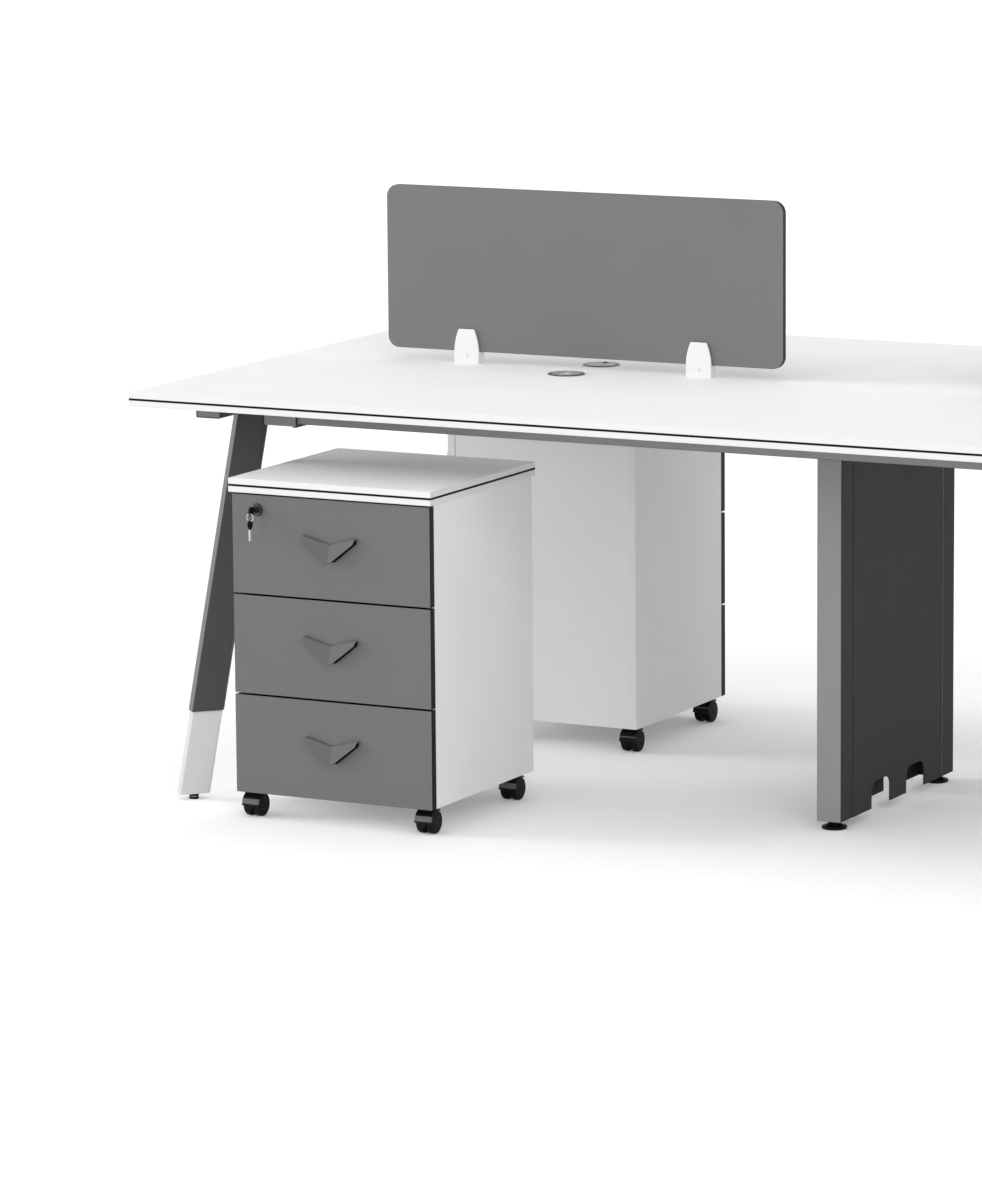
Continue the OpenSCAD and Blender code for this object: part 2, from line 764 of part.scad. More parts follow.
ped1() ped_hood(4, false);  // ped1_hood_4
ped1() ped_wheels(1, false);  // ped1_wheels_1
ped1() ped_wheels(2, false);  // ped1_wheels_2
ped1() ped_wheels(3, false);  // ped1_wheels_3
ped1() ped_wheels(4, false);  // ped1_wheels_4
ped2() ped_carcass();  // ped2_carcass
ped2() ped_top();  // ped2_top
ped2() ped_inlay();  // ped2_inlay
ped2() ped_rails();  // ped2_rails
ped2() ped_front(1);  // ped2_front_1
ped2() ped_front(2);  // ped2_front_2
ped2() ped_front(3);  // ped2_front_3
ped2() ped_box(1);  // ped2_box_1
ped2() ped_box(2);  // ped2_box_2
ped2() ped_box(3);  // ped2_box_3
ped2() ped_handle(1);  // ped2_handle_1
ped2() ped_handle(2);  // ped2_handle_2
ped2() ped_handle(3);  // ped2_handle_3
ped2() ped_lock();  // ped2_lock
ped2() ped_key();  // ped2_key
ped2() ped_sockets();  // ped2_sockets
ped2() ped_hood(1, true);  // ped2_hood_1
ped2() ped_hood(2, true);  // ped2_hood_2
ped2() ped_hood(3, true);  // ped2_hood_3
ped2() ped_hood(4, true);  // ped2_hood_4
ped2() ped_wheels(1, true);  // ped2_wheels_1
ped2() ped_wheels(2, true);  // ped2_wheels_2
ped2() ped_wheels(3, true);  // ped2_wheels_3
ped2() ped_wheels(4, true);  // ped2_wheels_4
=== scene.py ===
import math
import bmesh
import bpy
from mathutils import Matrix, Vector


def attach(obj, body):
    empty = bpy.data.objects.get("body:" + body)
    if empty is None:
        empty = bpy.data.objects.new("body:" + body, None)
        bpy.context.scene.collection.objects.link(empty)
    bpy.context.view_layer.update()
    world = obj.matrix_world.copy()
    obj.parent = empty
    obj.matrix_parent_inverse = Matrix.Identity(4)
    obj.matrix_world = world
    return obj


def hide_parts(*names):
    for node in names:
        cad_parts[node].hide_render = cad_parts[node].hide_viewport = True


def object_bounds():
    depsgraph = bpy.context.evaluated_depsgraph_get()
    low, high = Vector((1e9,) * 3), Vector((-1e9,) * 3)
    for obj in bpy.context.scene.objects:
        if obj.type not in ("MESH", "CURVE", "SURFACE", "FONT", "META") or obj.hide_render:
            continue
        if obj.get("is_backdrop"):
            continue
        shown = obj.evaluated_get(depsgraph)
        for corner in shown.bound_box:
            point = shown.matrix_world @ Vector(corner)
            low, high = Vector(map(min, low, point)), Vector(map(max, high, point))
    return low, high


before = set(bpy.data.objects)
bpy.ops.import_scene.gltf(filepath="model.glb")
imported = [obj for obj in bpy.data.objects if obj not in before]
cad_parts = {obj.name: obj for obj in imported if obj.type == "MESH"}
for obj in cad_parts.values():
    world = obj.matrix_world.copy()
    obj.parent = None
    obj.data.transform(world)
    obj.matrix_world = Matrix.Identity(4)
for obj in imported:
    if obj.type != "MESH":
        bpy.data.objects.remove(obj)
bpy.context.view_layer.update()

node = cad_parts
scene = bpy.context.scene

# ---------------------------------------------------------------- camera
# A long lens a little above eye height, far off to the right of the front edge. Its turns about
# the upright, the level and the viewing axis are in radians.
PAN = 0.4845
TILT = 0.1722
ROLL = -0.0085
lens = bpy.data.cameras.new("camera")
lens.lens = 172.75
lens.sensor_width = 36.0
lens.clip_end = 200.0
camera = bpy.data.objects.new("camera", lens)
camera.location = (4.0686, -9.239, 2.1279)
turn = Matrix.Rotation(PAN, 3, "Z") @ Matrix.Rotation(math.pi / 2 - TILT, 3, "X")
camera.rotation_euler = (turn @ Matrix.Rotation(ROLL, 3, "Z")).to_euler()
scene.collection.objects.link(camera)
scene.camera = camera

# ---------------------------------------------------------------- worktop
# One chipboard panel carries both bays. It is faced with white melamine, its edges are banded in
# white plastic, and a thin dark inlay lies in a groove that is milled round the edge; its near
# black is partly a painted shade for the groove.
WHITE = (0.86, 0.862, 0.864)
TOP_LOW = (-1.2, -0.6, 0.725)
TOP_HIGH = (1.2, 0.6, 0.75)
TOP_Z = TOP_HIGH[2]
BAY_X = 0.6
GROMMET_Y = 0.07
GROMMET_HOLE = 0.060


def tree(name):
    """A material with its shader and its place on the object."""
    mat = bpy.data.materials.new(name)
    mat.use_nodes = True
    nodes = mat.node_tree.nodes
    place = nodes.new("ShaderNodeTexCoord").outputs["Object"]
    return mat, nodes, mat.node_tree.links.new, nodes["Principled BSDF"], place


def noise(nodes, link, place, scale, detail=2.0, stretch=(1, 1, 1)):
    """A noise whose scale counts patches per metre."""
    turn = nodes.new("ShaderNodeMapping")
    turn.inputs["Scale"].default_value = stretch
    link(place, turn.inputs["Vector"])
    patch = nodes.new("ShaderNodeTexNoise")
    patch.inputs["Scale"].default_value = scale
    patch.inputs["Detail"].default_value = detail
    link(turn.outputs["Vector"], patch.inputs["Vector"])
    return patch.outputs["Fac"]


def spread(nodes, link, source, low, high, start=0.3, end=0.7):
    """Stretches a noise between two values."""
    ramp = nodes.new("ShaderNodeMapRange")
    for name, value in (("From Min", start), ("From Max", end), ("To Min", low), ("To Max", high)):
        ramp.inputs[name].default_value = value
    link(source, ramp.inputs["Value"])
    return ramp.outputs["Result"]


def tint(nodes, link, source, colour, depth):
    """Moves a colour a little darker and lighter with a noise."""
    mix = nodes.new("ShaderNodeMix")
    mix.data_type = "RGBA"
    mix.inputs["A"].default_value = tuple(c * (1 - depth) for c in colour) + (1.0,)
    mix.inputs["B"].default_value = tuple(min(1.0, c * (1 + depth)) for c in colour) + (1.0,)
    link(source, mix.inputs["Factor"])
    return mix.outputs["Result"]


def emboss(nodes, link, source, shader, strength, height):
    """Lets a noise stand up from the surface."""
    bump = nodes.new("ShaderNodeBump")
    bump.inputs["Strength"].default_value = strength
    bump.inputs["Distance"].default_value = height
    link(source, bump.inputs["Height"])
    link(bump.outputs["Normal"], shader.inputs["Normal"])


def melamine(name, colour, rough, depth=0.012, shine=0.4):
    """Printed paper under melamine: a faint cloud in the print and a fine pearl pressed into the face."""
    mat, nodes, link, shader, place = tree(name)
    cloud = spread(nodes, link, noise(nodes, link, place, 7.0, 5.0), 0.0, 1.0)
    link(tint(nodes, link, cloud, colour, depth), shader.inputs["Base Color"])
    smear = noise(nodes, link, place, 38.0, 3.0)
    link(spread(nodes, link, smear, rough - 0.035, rough + 0.035), shader.inputs["Roughness"])
    emboss(nodes, link, noise(nodes, link, place, 1100.0, 2.0), shader, 0.12, 0.00012)
    shader.inputs["Specular IOR Level"].default_value = shine
    return mat


def edge_band(name, colour, shine):
    """Extruded plastic edging: smoother than the board, with faint lines along the run."""
    mat, nodes, link, shader, place = tree(name)
    lines = spread(nodes, link, noise(nodes, link, place, 60.0, 3.0, (0.05, 0.05, 12.0)), 0.0, 1.0)
    link(tint(nodes, link, lines, colour, 0.015), shader.inputs["Base Color"])
    link(spread(nodes, link, noise(nodes, link, place, 90.0), 0.30, 0.40), shader.inputs["Roughness"])
    emboss(nodes, link, lines, shader, 0.08, 0.00008)
    shader.inputs["Specular IOR Level"].default_value = shine
    return mat


def blank(low, high):
    """A sawn block between two corners."""
    bm = bmesh.new()
    bmesh.ops.create_cube(bm, size=1.0)
    bmesh.ops.scale(bm, vec=Vector(high) - Vector(low), verts=bm.verts)
    bmesh.ops.translate(bm, vec=(Vector(high) + Vector(low)) / 2, verts=bm.verts)
    return bm


def ease(bm, width, steps=2, pick=None):
    """Rounds the arrises of a blank, or only those that pick chooses."""
    sharp = math.radians(20)
    arrises = [e for e in bm.edges if len(e.link_faces) == 2 and e.calc_face_angle() > sharp]
    if pick:
        arrises = [e for e in arrises if pick(e)]
    bmesh.ops.bevel(bm, geom=arrises, offset=width, offset_type="OFFSET", affect="EDGES",
                    segments=steps, profile=0.5, material=-1, clamp_overlap=True)


def join(bm, other):
    """Adds one finished blank to another."""
    carrier = bpy.data.meshes.new("carrier")
    other.to_mesh(carrier)
    other.free()
    bm.from_mesh(carrier)
    bpy.data.meshes.remove(carrier)


def rod(radius, low, high, sides, axis="Z"):
    """A round bar between two heights, or between two places along X or Y."""
    bm = bmesh.new()
    bmesh.ops.create_cone(bm, cap_ends=True, segments=sides, radius1=radius, radius2=radius,
                          depth=high - low)
    bmesh.ops.translate(bm, vec=(0, 0, (high + low) / 2), verts=bm.verts)
    if axis == "X":
        bmesh.ops.rotate(bm, matrix=Matrix.Rotation(math.pi / 2, 3, "Y"), verts=bm.verts)
    if axis == "Y":
        bmesh.ops.rotate(bm, matrix=Matrix.Rotation(-math.pi / 2, 3, "X"), verts=bm.verts)
    return bm


def shift(bm, x, y, z):
    """Moves a blank and gives it back."""
    bmesh.ops.translate(bm, vec=(x, y, z), verts=bm.verts)
    return bm


def painted(bm, index):
    """Gives every face of a blank one of the piece's finishes."""
    for f in bm.faces:
        f.material_index = index
    return bm


def drilled(bm, bit):
    """Takes the shape of a bit out of a blank."""
    pair = []
    for shape in (bm, bit):
        mesh = bpy.data.meshes.new("bench")
        shape.to_mesh(mesh)
        shape.free()
        pair.append(bpy.data.objects.new("bench", mesh))
        scene.collection.objects.link(pair[-1])
    cut = pair[0].modifiers.new("cut", "BOOLEAN")
    cut.object, cut.operation, cut.solver = pair[1], "DIFFERENCE", "EXACT"
    now = bpy.context.evaluated_depsgraph_get()
    worked = bpy.data.meshes.new_from_object(pair[0].evaluated_get(now))
    out = bmesh.new()
    out.from_mesh(worked)
    for thing in pair:
        mesh = thing.data
        bpy.data.objects.remove(thing)
        bpy.data.meshes.remove(mesh)
    bpy.data.meshes.remove(worked)
    return out


def fit(name, bm, finishes, body, stands_for, crease=32):
    """Turns a bmesh into a piece of the object, on the body that carries it. Creases over an angle
    in degrees stay sharp."""
    mesh = bpy.data.meshes.new(name)
    bm.to_mesh(mesh)
    bm.free()
    for finish in finishes:
        mesh.materials.append(finish)
    for face in mesh.polygons:
        face.use_smooth = True
    mesh.set_sharp_from_angle(angle=math.radians(crease))
    piece = bpy.data.objects.new(name, mesh)
    scene.collection.objects.link(piece)
    piece.modifiers.new("even_shading", "WEIGHTED_NORMAL").keep_sharp = True
    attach(piece, body)
    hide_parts(*stands_for)


def clad(names, finish, soften=0.0):
    """Gives CAD nodes their finish, and eases their arrises where a width is given."""
    for name in names:
        shape = node[name]
        shape.data.materials.clear()
        shape.data.materials.append(finish)
        if soften:
            shape.modifiers.new("seam", "WELD").merge_threshold = 0.00001
            edge = shape.modifiers.new("arris", "BEVEL")
            edge.width, edge.segments, edge.limit_method = soften, 2, "ANGLE"
            edge.angle_limit = math.radians(50)


def lined_board(low, high, line=0.004, deep=0.003):
    """A board with an eased edge and a groove milled round its edge at half thickness."""
    bm = blank(low, high)
    ease(bm, 0.0012, 2)
    middle = (low[2] + high[2]) / 2
    for z in (middle - line / 2, middle + line / 2):
        bmesh.ops.bisect_plane(bm, geom=bm.verts[:] + bm.edges[:] + bm.faces[:], plane_co=(0, 0, z),
                               plane_no=(0, 0, 1))
    strip = [f for f in bm.faces if abs(f.calc_center_median().z - middle) < line / 4
             and abs(f.normal.z) < 0.5]
    milled = bmesh.ops.extrude_face_region(bm, geom=strip)["geom"]
    bmesh.ops.delete(bm, geom=strip, context="FACES_ONLY")
    centre = Vector(((low[0] + high[0]) / 2, (low[1] + high[1]) / 2, 0))
    for v in (v for v in milled if isinstance(v, bmesh.types.BMVert)):
        for i in (0, 1):
            v.co[i] -= math.copysign(deep, v.co[i] - centre[i])
    for f in bm.faces:
        f.material_index = 0 if abs(f.normal.z) > 0.9 else 1
    return bm


white_melamine = melamine("white_melamine", WHITE, rough=0.66, shine=0.1)
white_banding = edge_band("white_banding", (0.745, 0.747, 0.75), 0.15)

top = lined_board(TOP_LOW, TOP_HIGH)
holes = bmesh.new()
for x in (-BAY_X, BAY_X):
    for y in (-GROMMET_Y, GROMMET_Y):
        join(holes, shift(rod(GROMMET_HOLE / 2, 0.70, 0.78, 64), x, y, 0))
fit("worktop_board", drilled(top, holes), [white_melamine, white_banding], "desk", ["worktop"])

# Near black for the clamps' rubber pads and the groove inlays, where it is partly painted shade for the
# groove.
pad_and_groove_shade_plastic = melamine("pad_and_groove_shade_plastic", (0.007, 0.007, 0.0075), rough=0.6, depth=0.08, shine=0.1)
clad(["worktop_inlay"], pad_and_groove_shade_plastic)

# ---------------------------------------------------------------- end frames
# At each end a flat crossbar is welded onto two legs of bevelled rectangular tube, which stand
# diagonally and lean out to the corners by LEAN along both sides. The sockets at the leg heads, a
# sleeve and its collar, take the long beams.
TUBE_HALF = (0.030, 0.014)
TUBE_BEVEL = 0.006
LEAN = 0.1235
FOOT = (1.148, 0.488)
SHOE_TOP = 0.161
BAR_X = 1.0669
BAR_HALF = 0.024
BAR_LOW = 0.705
BAR_HIGH = 0.725
SOCKET = (((0.9781, 0.356, 0.676), (1.0371, 0.404, 0.709)),
          ((0.9711, 0.354, 0.674), (0.9781, 0.406, 0.711)))


def powder_coat(name, colour, rough=0.46, metal=0.0, peel=0.16, shine=0.5):
    """Baked powder on steel: orange peel, a fine speckle in the colour and a slight cloud in the gloss."""
    mat, nodes, link, shader, place = tree(name)
    speck = spread(nodes, link, noise(nodes, link, place, 2600.0, 2.0), 0.0, 1.0, 0.35, 0.65)
    link(tint(nodes, link, speck, colour, 0.05), shader.inputs["Base Color"])
    cloud = noise(nodes, link, place, 24.0, 4.0)
    link(spread(nodes, link, cloud, rough - 0.015, rough + 0.015), shader.inputs["Roughness"])
    emboss(nodes, link, noise(nodes, link, place, 520.0, 3.0), shader, peel, 0.0002)
    shader.inputs["Metallic"].default_value = metal
    shader.inputs["Specular IOR Level"].default_value = shine
    return mat


def moulded(name, colour, rough=0.42, shine=0.5):
    """Moulded plastic with an even eroded grain."""
    mat, nodes, link, shader, place = tree(name)
    flow = spread(nodes, link, noise(nodes, link, place, 45.0, 3.0), 0.0, 1.0)
    link(tint(nodes, link, flow, colour, 0.06), shader.inputs["Base Color"])
    haze = noise(nodes, link, place, 160.0)
    link(spread(nodes, link, haze, rough - 0.05, rough + 0.06), shader.inputs["Roughness"])
    emboss(nodes, link, noise(nodes, link, place, 1500.0, 1.0), shader, 0.2, 0.0001)
    shader.inputs["Specular IOR Level"].default_value = shine
    return mat


def leg_blank(inset, bevel, low, high):
    """The leg tube's outer form in the +X +Y quarter, cut level at two heights."""
    bm = bmesh.new()
    l, w = (half - inset for half in TUBE_HALF)
    section = [(-l, -w), (l - bevel, -w), (l, -w + bevel), (l, w - bevel), (l - bevel, w), (-l, w)]
    end = bm.faces.new([bm.verts.new((x, y, -0.06)) for x, y in section])
    run = bmesh.ops.extrude_face_region(bm, geom=[end])["geom"]
    bmesh.ops.translate(bm, vec=(0, 0, high + 0.2),
                        verts=[v for v in run if isinstance(v, bmesh.types.BMVert)])
    bmesh.ops.recalc_face_normals(bm, faces=bm.faces)
    tilt = Matrix.Rotation(math.atan(LEAN * math.sqrt(2)), 4, "Y")
    place = Matrix.Translation((FOOT[0], FOOT[1], 0)) @ Matrix.Rotation(math.radians(225), 4, "Z") @ tilt
    bmesh.ops.transform(bm, matrix=place, verts=bm.verts)
    for z, way in ((low, -1), (high, 1)):
        bmesh.ops.bisect_plane(bm, geom=bm.verts[:] + bm.edges[:] + bm.faces[:], plane_co=(0, 0, z),
                               plane_no=(0, 0, way), clear_outer=True)
        bmesh.ops.holes_fill(bm, edges=[e for e in bm.edges if e.is_boundary], sides=0)
    ease(bm, 0.0016, 3, lambda e: abs(e.verts[0].co.z - e.verts[1].co.z) > 0.05)
    return bm


def quarter(bm, sx, sy):
    """Brings a blank from the +X +Y quarter into another one."""
    bmesh.ops.scale(bm, vec=(sx, sy, 1), verts=bm.verts)
    if sx * sy < 0:
        bmesh.ops.reverse_faces(bm, faces=bm.faces)
    return bm


def capped_bar(x, reach):
    """A flat tube across the desk, with a plug pressed into each end."""
    bm = blank((x - BAR_HALF, -reach, BAR_LOW), (x + BAR_HALF, reach, BAR_HIGH))
    ease(bm, 0.0025, 3, lambda e: abs(e.verts[0].co.y - e.verts[1].co.y) > 0.5)
    ends = [f for f in bm.faces if abs(f.normal.y) > 0.9]
    bmesh.ops.inset_individual(bm, faces=ends, thickness=0.002, depth=-0.0008)
    # The plugs in the ends take a light grey that stands in for light on the end faces: painted light.
    for f in bm.faces:
        f.material_index = 1 if abs(f.normal.y) > 0.9 and f.calc_area() > 0.0005 else 0
    return bm


frame_powder = powder_coat("frame_powder", (0.048, 0.048, 0.050), shine=0.3)
# A lighter grey for the frame's faces that point front and back: painted light.
front_back_painted_light = powder_coat("front_back_painted_light", (0.21, 0.21, 0.214))
# A mid grey for the legs' outer corner faces: painted light.
leg_corner_painted_light = powder_coat("leg_corner_painted_light", (0.125, 0.125, 0.128), shine=0.3)
# Light grey for the bar-end plugs: painted light.
plug_painted_light = moulded("plug_painted_light", (0.16, 0.16, 0.163))
for side, sx in (("left", -1), ("right", 1)):
    ends = capped_bar(sx * BAR_X, 0.55)
    for sy in (-1, 1):
        leg = leg_blank(0.0, TUBE_BEVEL, SHOE_TOP, BAR_LOW)
        mouth = [f for f in leg.faces if f.normal.z < -0.9]
        bmesh.ops.inset_region(leg, faces=mouth, thickness=0.002)
        bmesh.ops.translate(leg, vec=(-LEAN * 0.03, -LEAN * 0.03, 0.03), verts=mouth[0].verts)
        # The outer corner face, turned to the front lamps on the near legs, is painted lighter: painted
        # light.
        for f in leg.faces:
            f.material_index = 3 if min(f.normal.x, f.normal.y) > 0.5 else 0
        join(ends, quarter(leg, sx, sy))
        for low, high in SOCKET:
            socket = blank(low, high)
            ease(socket, 0.001, 2)
            # Front and back faces of the sockets are painted lighter: painted light.
            for f in socket.faces:
                f.material_index = 2 if abs(f.normal.y) > 0.9 else 0
            join(ends, quarter(socket, sx, sy))
    fit("end_frame_" + side + "_welded", ends, [frame_powder, plug_painted_light, front_back_painted_light, leg_corner_painted_light],
        "desk", ["end_frame_" + side])

# ---------------------------------------------------------------- leg shoes
# White sleeves of smaller tube are pushed up into the grey legs and finish them near the floor.
SHOE_Z = 0.010
shoe_powder = powder_coat("shoe_powder", (0.565, 0.567, 0.57), rough=0.36, peel=0.1)
shoes = bmesh.new()
for sx in (-1, 1):
    for sy in (-1, 1):
        shoe = leg_blank(0.0023, 0.004, SHOE_Z, SHOE_TOP + 0.024)
        ease(shoe, 0.0008, 2, lambda e: max(v.co.z for v in e.verts) < SHOE_Z + 0.0001)
        join(shoes, quarter(shoe, sx, sy))
fit("leg_shoe_sleeves", shoes, [shoe_powder], "desk", ["leg_shoes"])

# ---------------------------------------------------------------- long beams
# Two rectangular tubes run from end frame to end frame under the board and pass the middle leg.
BEAM_Y = 0.38
beams = bmesh.new()
for y in (-BEAM_Y, BEAM_Y):
    beam = blank((-1.0328, y - 0.02, 0.680), (1.0328, y + 0.02, 0.7049))
    ease(beam, 0.002, 3, lambda e: abs(e.verts[0].co.x - e.verts[1].co.x) > 1)
    # Front and back faces of the beams are painted lighter: painted light.
    for f in beam.faces:
        f.material_index = 1 if abs(f.normal.y) > 0.9 else 0
    join(beams, beam)
fit("long_beam_tubes", beams, [frame_powder, front_back_painted_light], "desk", ["long_beams"])

# ---------------------------------------------------------------- middle leg
# Two upright steel columns under a crossbar, with folded dark sheet covers between them. The
# columns' narrow faces carry a lighter grey as painted light, and their sides the covers' dark
# paint as painted shade. Cables enter the space inside through arched cut-outs at the floor.
column_painted_light = powder_coat("column_painted_light", (0.245, 0.245, 0.248))
cover_and_painted_shade = powder_coat("cover_and_painted_shade", (0.037, 0.037, 0.038), rough=0.62, peel=0.05, shine=0.12)
COLUMN_Y = 0.224
COLUMN_Z = 0.016
stand = capped_bar(0.0, BEAM_Y + 0.018)
for sy in (-1, 1):
    column = blank((-0.023, COLUMN_Y - 0.026, COLUMN_Z), (0.023, COLUMN_Y + 0.026, BAR_LOW))
    ease(column, 0.0025, 3, lambda e: abs(e.verts[0].co.z - e.verts[1].co.z) > 0.5)
    ease(column, 0.0008, 2, lambda e: max(v.co.z for v in e.verts) < COLUMN_Z + 0.0001)
    # Narrow faces painted lighter as painted light, sides in the covers' dark as painted shade.
    for f in column.faces:
        f.material_index = 2 if abs(f.normal.y) > 0.6 else 0
    join(stand, quarter(column, 1, sy))
fit("middle_leg_columns", stand, [cover_and_painted_shade, plug_painted_light, column_painted_light], "desk",
    ["middle_leg_frame"])
clad(["middle_leg_panels"], cover_and_painted_shade)

# ---------------------------------------------------------------- levelling glides
# Screw feet: a broad black disc with a hexagon above it under each column, and a small one
# under each shoe. All of them stand on the floor.


def turned(profile, sides=40):
    """A part turned on the lathe from (radius, height) points, on the Z axis."""
    bm = bmesh.new()
    points = [bm.verts.new((r, 0, z)) for r, z in profile]
    edges = [bm.edges.new(pair) for pair in zip(points, points[1:])]
    bmesh.ops.spin(bm, geom=points + edges, cent=(0, 0, 0), axis=(0, 0, 1), angle=math.tau,
                   steps=sides, use_merge=True)
    bmesh.ops.remove_doubles(bm, verts=bm.verts, dist=0.000002)
    bmesh.ops.recalc_face_normals(bm, faces=bm.faces)
    return bm


glide_plastic = moulded("glide_plastic", (0.005, 0.005, 0.0055), rough=0.5, shine=0.12)
stud_zinc = powder_coat("stud_zinc", (0.42, 0.43, 0.44), rough=0.32, metal=1.0, peel=0.05)
glides = bmesh.new()
for sy in (-1, 1):
    disc = turned([(0, 0), (0.0208, 0), (0.0222, 0.0008), (0.0225, 0.0022), (0.0224, 0.0040),
                   (0.0216, 0.0050), (0.0185, 0.0056), (0.0135, 0.0078), (0.0100, 0.0084),
                   (0, 0.0084)], 48)
    join(glides, shift(disc, 0, sy * COLUMN_Y, 0))
    hexagon = rod(0.0118, 0.0085, 0.0159, 6)
    ease(hexagon, 0.0008, 2)
    join(glides, shift(hexagon, 0, sy * COLUMN_Y, 0))
for sx in (-1, 1):
    for sy in (-1, 1):
        x = sx * (FOOT[0] - LEAN * SHOE_Z)
        y = sy * (FOOT[1] - LEAN * SHOE_Z)
        disc = turned([(0, 0), (0.0080, 0), (0.0088, 0.0005), (0.0090, 0.0014), (0.0090, 0.0032),
                       (0.0085, 0.0040), (0.0069, 0.0041), (0.0069, 0.0055), (0.0085, 0.0056),
                       (0.0090, 0.0062), (0.0090, 0.0093), (0.0086, 0.0099), (0, 0.0099)])
        for f in disc.faces:
            f.material_index = 1 if 0.0041 < f.calc_center_median().z < 0.0055 else 0
        join(glides, shift(disc, x, y, 0))
fit("glide_feet", glides, [glide_plastic, stud_zinc], "desk", ["levelling_glides"])

# ---------------------------------------------------------------- screens
# Grey melamine boards with rounded corners stand over the middle of each bay and part the seats.
screen_face = melamine("screen_face", (0.150, 0.150, 0.152), rough=0.5, depth=0.02)
screen_band = edge_band("screen_band", (0.012, 0.012, 0.0125), 0.1)
SCREEN_Z = TOP_Z + 0.022
screens = bmesh.new()
for x in (-BAY_X, BAY_X):
    screen = blank((x - 0.4, -0.006, SCREEN_Z), (x + 0.4, 0.006, SCREEN_Z + 0.3))
    ease(screen, 0.022, 14, lambda e: abs(e.verts[0].co.y - e.verts[1].co.y) > 0.01)
    ease(screen, 0.0008, 2, lambda e: any(abs(f.normal.y) > 0.9 for f in e.link_faces))
    for f in screen.faces:
        f.material_index = 0 if abs(f.normal.y) > 0.5 else 1
    join(screens, screen)
fit("screen_boards", screens, [screen_face, screen_band], "desk", ["screens"], 20)

# ---------------------------------------------------------------- screen clamps
# Each screen stands in two white die-cast clamps. The foot is straight and the cheeks narrow
# towards the head. Dark rubber pads lie against the board, and one set screw from the front holds
# it. CLAMP gives half the width at each height, SCREW the screw's place from the foot's middle.
clamp_white = powder_coat("clamp_white", (0.77, 0.772, 0.775), rough=0.34, peel=0.08, shine=0.3)
screw_zinc = powder_coat("screw_zinc", (0.76, 0.76, 0.77), rough=0.3, peel=0.05)
CLAMP = [(0.0, 0.0250), (0.024, 0.0250), (0.030, 0.02475), (0.036, 0.02393), (0.042, 0.02272),
         (0.048, 0.02118), (0.054, 0.01935), (0.0600, 0.01705), (0.0615, 0.01648), (0.0625, 0.0157),
         (0.063, 0.0146)]
CLAMP_FLOOR = 0.0219
CLAMP_HALF = 0.0113
CHEEK = 0.0035
PAD = 0.0016
CLAMP_X = 0.235
SCREW = (0.003, 0.014)


def drawn_out(bm, faces, depth, keep=False):
    """Draws faces out along Y and gives the new ones."""
    grown = bmesh.ops.extrude_face_region(bm, geom=faces)["geom"]
    bmesh.ops.translate(bm, vec=(0, depth, 0),
                        verts=[v for v in grown if isinstance(v, bmesh.types.BMVert)])
    if not keep:
        bmesh.ops.delete(bm, geom=faces, context="FACES_ONLY")
    return [f for f in grown if isinstance(f, bmesh.types.BMFace)]


def cheek_sheet(y, inset=0.0):
    """The clamp's outline as one face, parted at the height where the board begins."""
    bm = bmesh.new()
    ring = [(w - inset, z) for z, w in CLAMP] + [(inset - w, z) for z, w in reversed(CLAMP)]
    bm.faces.new([bm.verts.new((x, y, z)) for x, z in ring])
    bmesh.ops.bisect_plane(bm, geom=bm.verts[:] + bm.edges[:] + bm.faces[:], plane_co=(0, 0, CLAMP_FLOOR),
                           plane_no=(0, 0, 1))
    return bm


def pad():
    """Rubber between one cheek and the board, a little smaller than the cheek."""
    bm = cheek_sheet(CHEEK - CLAMP_HALF + 0.0001, 0.0004)
    foot = [f for f in bm.faces if f.calc_center_median().z < CLAMP_FLOOR]
    bmesh.ops.delete(bm, geom=foot, context="FACES")
    drawn_out(bm, bm.faces[:], PAD, keep=True)
    bmesh.ops.recalc_face_normals(bm, faces=bm.faces)
    return bm


def clamp():
    """The front cheek and half of the foot are drawn and mirrored about the board."""
    bm = cheek_sheet(-CLAMP_HALF)
    cheek = drawn_out(bm, bm.faces[:], CHEEK, keep=True)
    middle = [f for f in cheek if f.calc_center_median().z < CLAMP_FLOOR]
    middle = drawn_out(bm, middle, CLAMP_HALF - CHEEK)
    bmesh.ops.delete(bm, geom=middle, context="FACES_ONLY")
    bmesh.ops.mirror(bm, geom=bm.verts[:] + bm.edges[:] + bm.faces[:], axis="Y", merge_dist=0.00005)
    bmesh.ops.recalc_face_normals(bm, faces=bm.faces)
    bmesh.ops.dissolve_limit(bm, angle_limit=0.01, verts=bm.verts, edges=bm.edges)
    ease(bm, 0.0011, 3, lambda e: all(abs(abs(v.co.y) - CLAMP_HALF) < 0.0002 for v in e.verts)
         and max(v.co.z for v in e.verts) > 0.0005)
    return drilled(bm, shift(rod(0.0030, -0.0125, -0.0095, 24, "Y"), SCREW[0], 0, SCREW[1]))


clamps = bmesh.new()
pads = bmesh.new()
screws = bmesh.new()
for x in (-BAY_X - CLAMP_X, -BAY_X + CLAMP_X, BAY_X - CLAMP_X, BAY_X + CLAMP_X):
    join(clamps, shift(clamp(), x, 0, TOP_Z))
    for way in (1, -1):
        join(pads, shift(quarter(pad(), 1, way), x, 0, TOP_Z))
    screw = turned([(0, 0), (0.0028, 0), (0.0028, 0.0018), (0.0024, 0.0022), (0.0013, 0.0022),
                    (0.0011, 0.0008), (0, 0.0008)], 24)
    bmesh.ops.rotate(screw, matrix=Matrix.Rotation(math.pi / 2, 3, "X"), verts=screw.verts)
    join(screws, shift(screw, x + SCREW[0], -0.0088, TOP_Z + SCREW[1]))
fit("clamp_castings", clamps, [clamp_white], "desk", ["screen_clamps"])
fit("clamp_pads", pads, [pad_and_groove_shade_plastic], "desk", ["screen_clamps"])
fit("clamp_screws", screws, [screw_zinc], "desk", ["screen_clamps"])

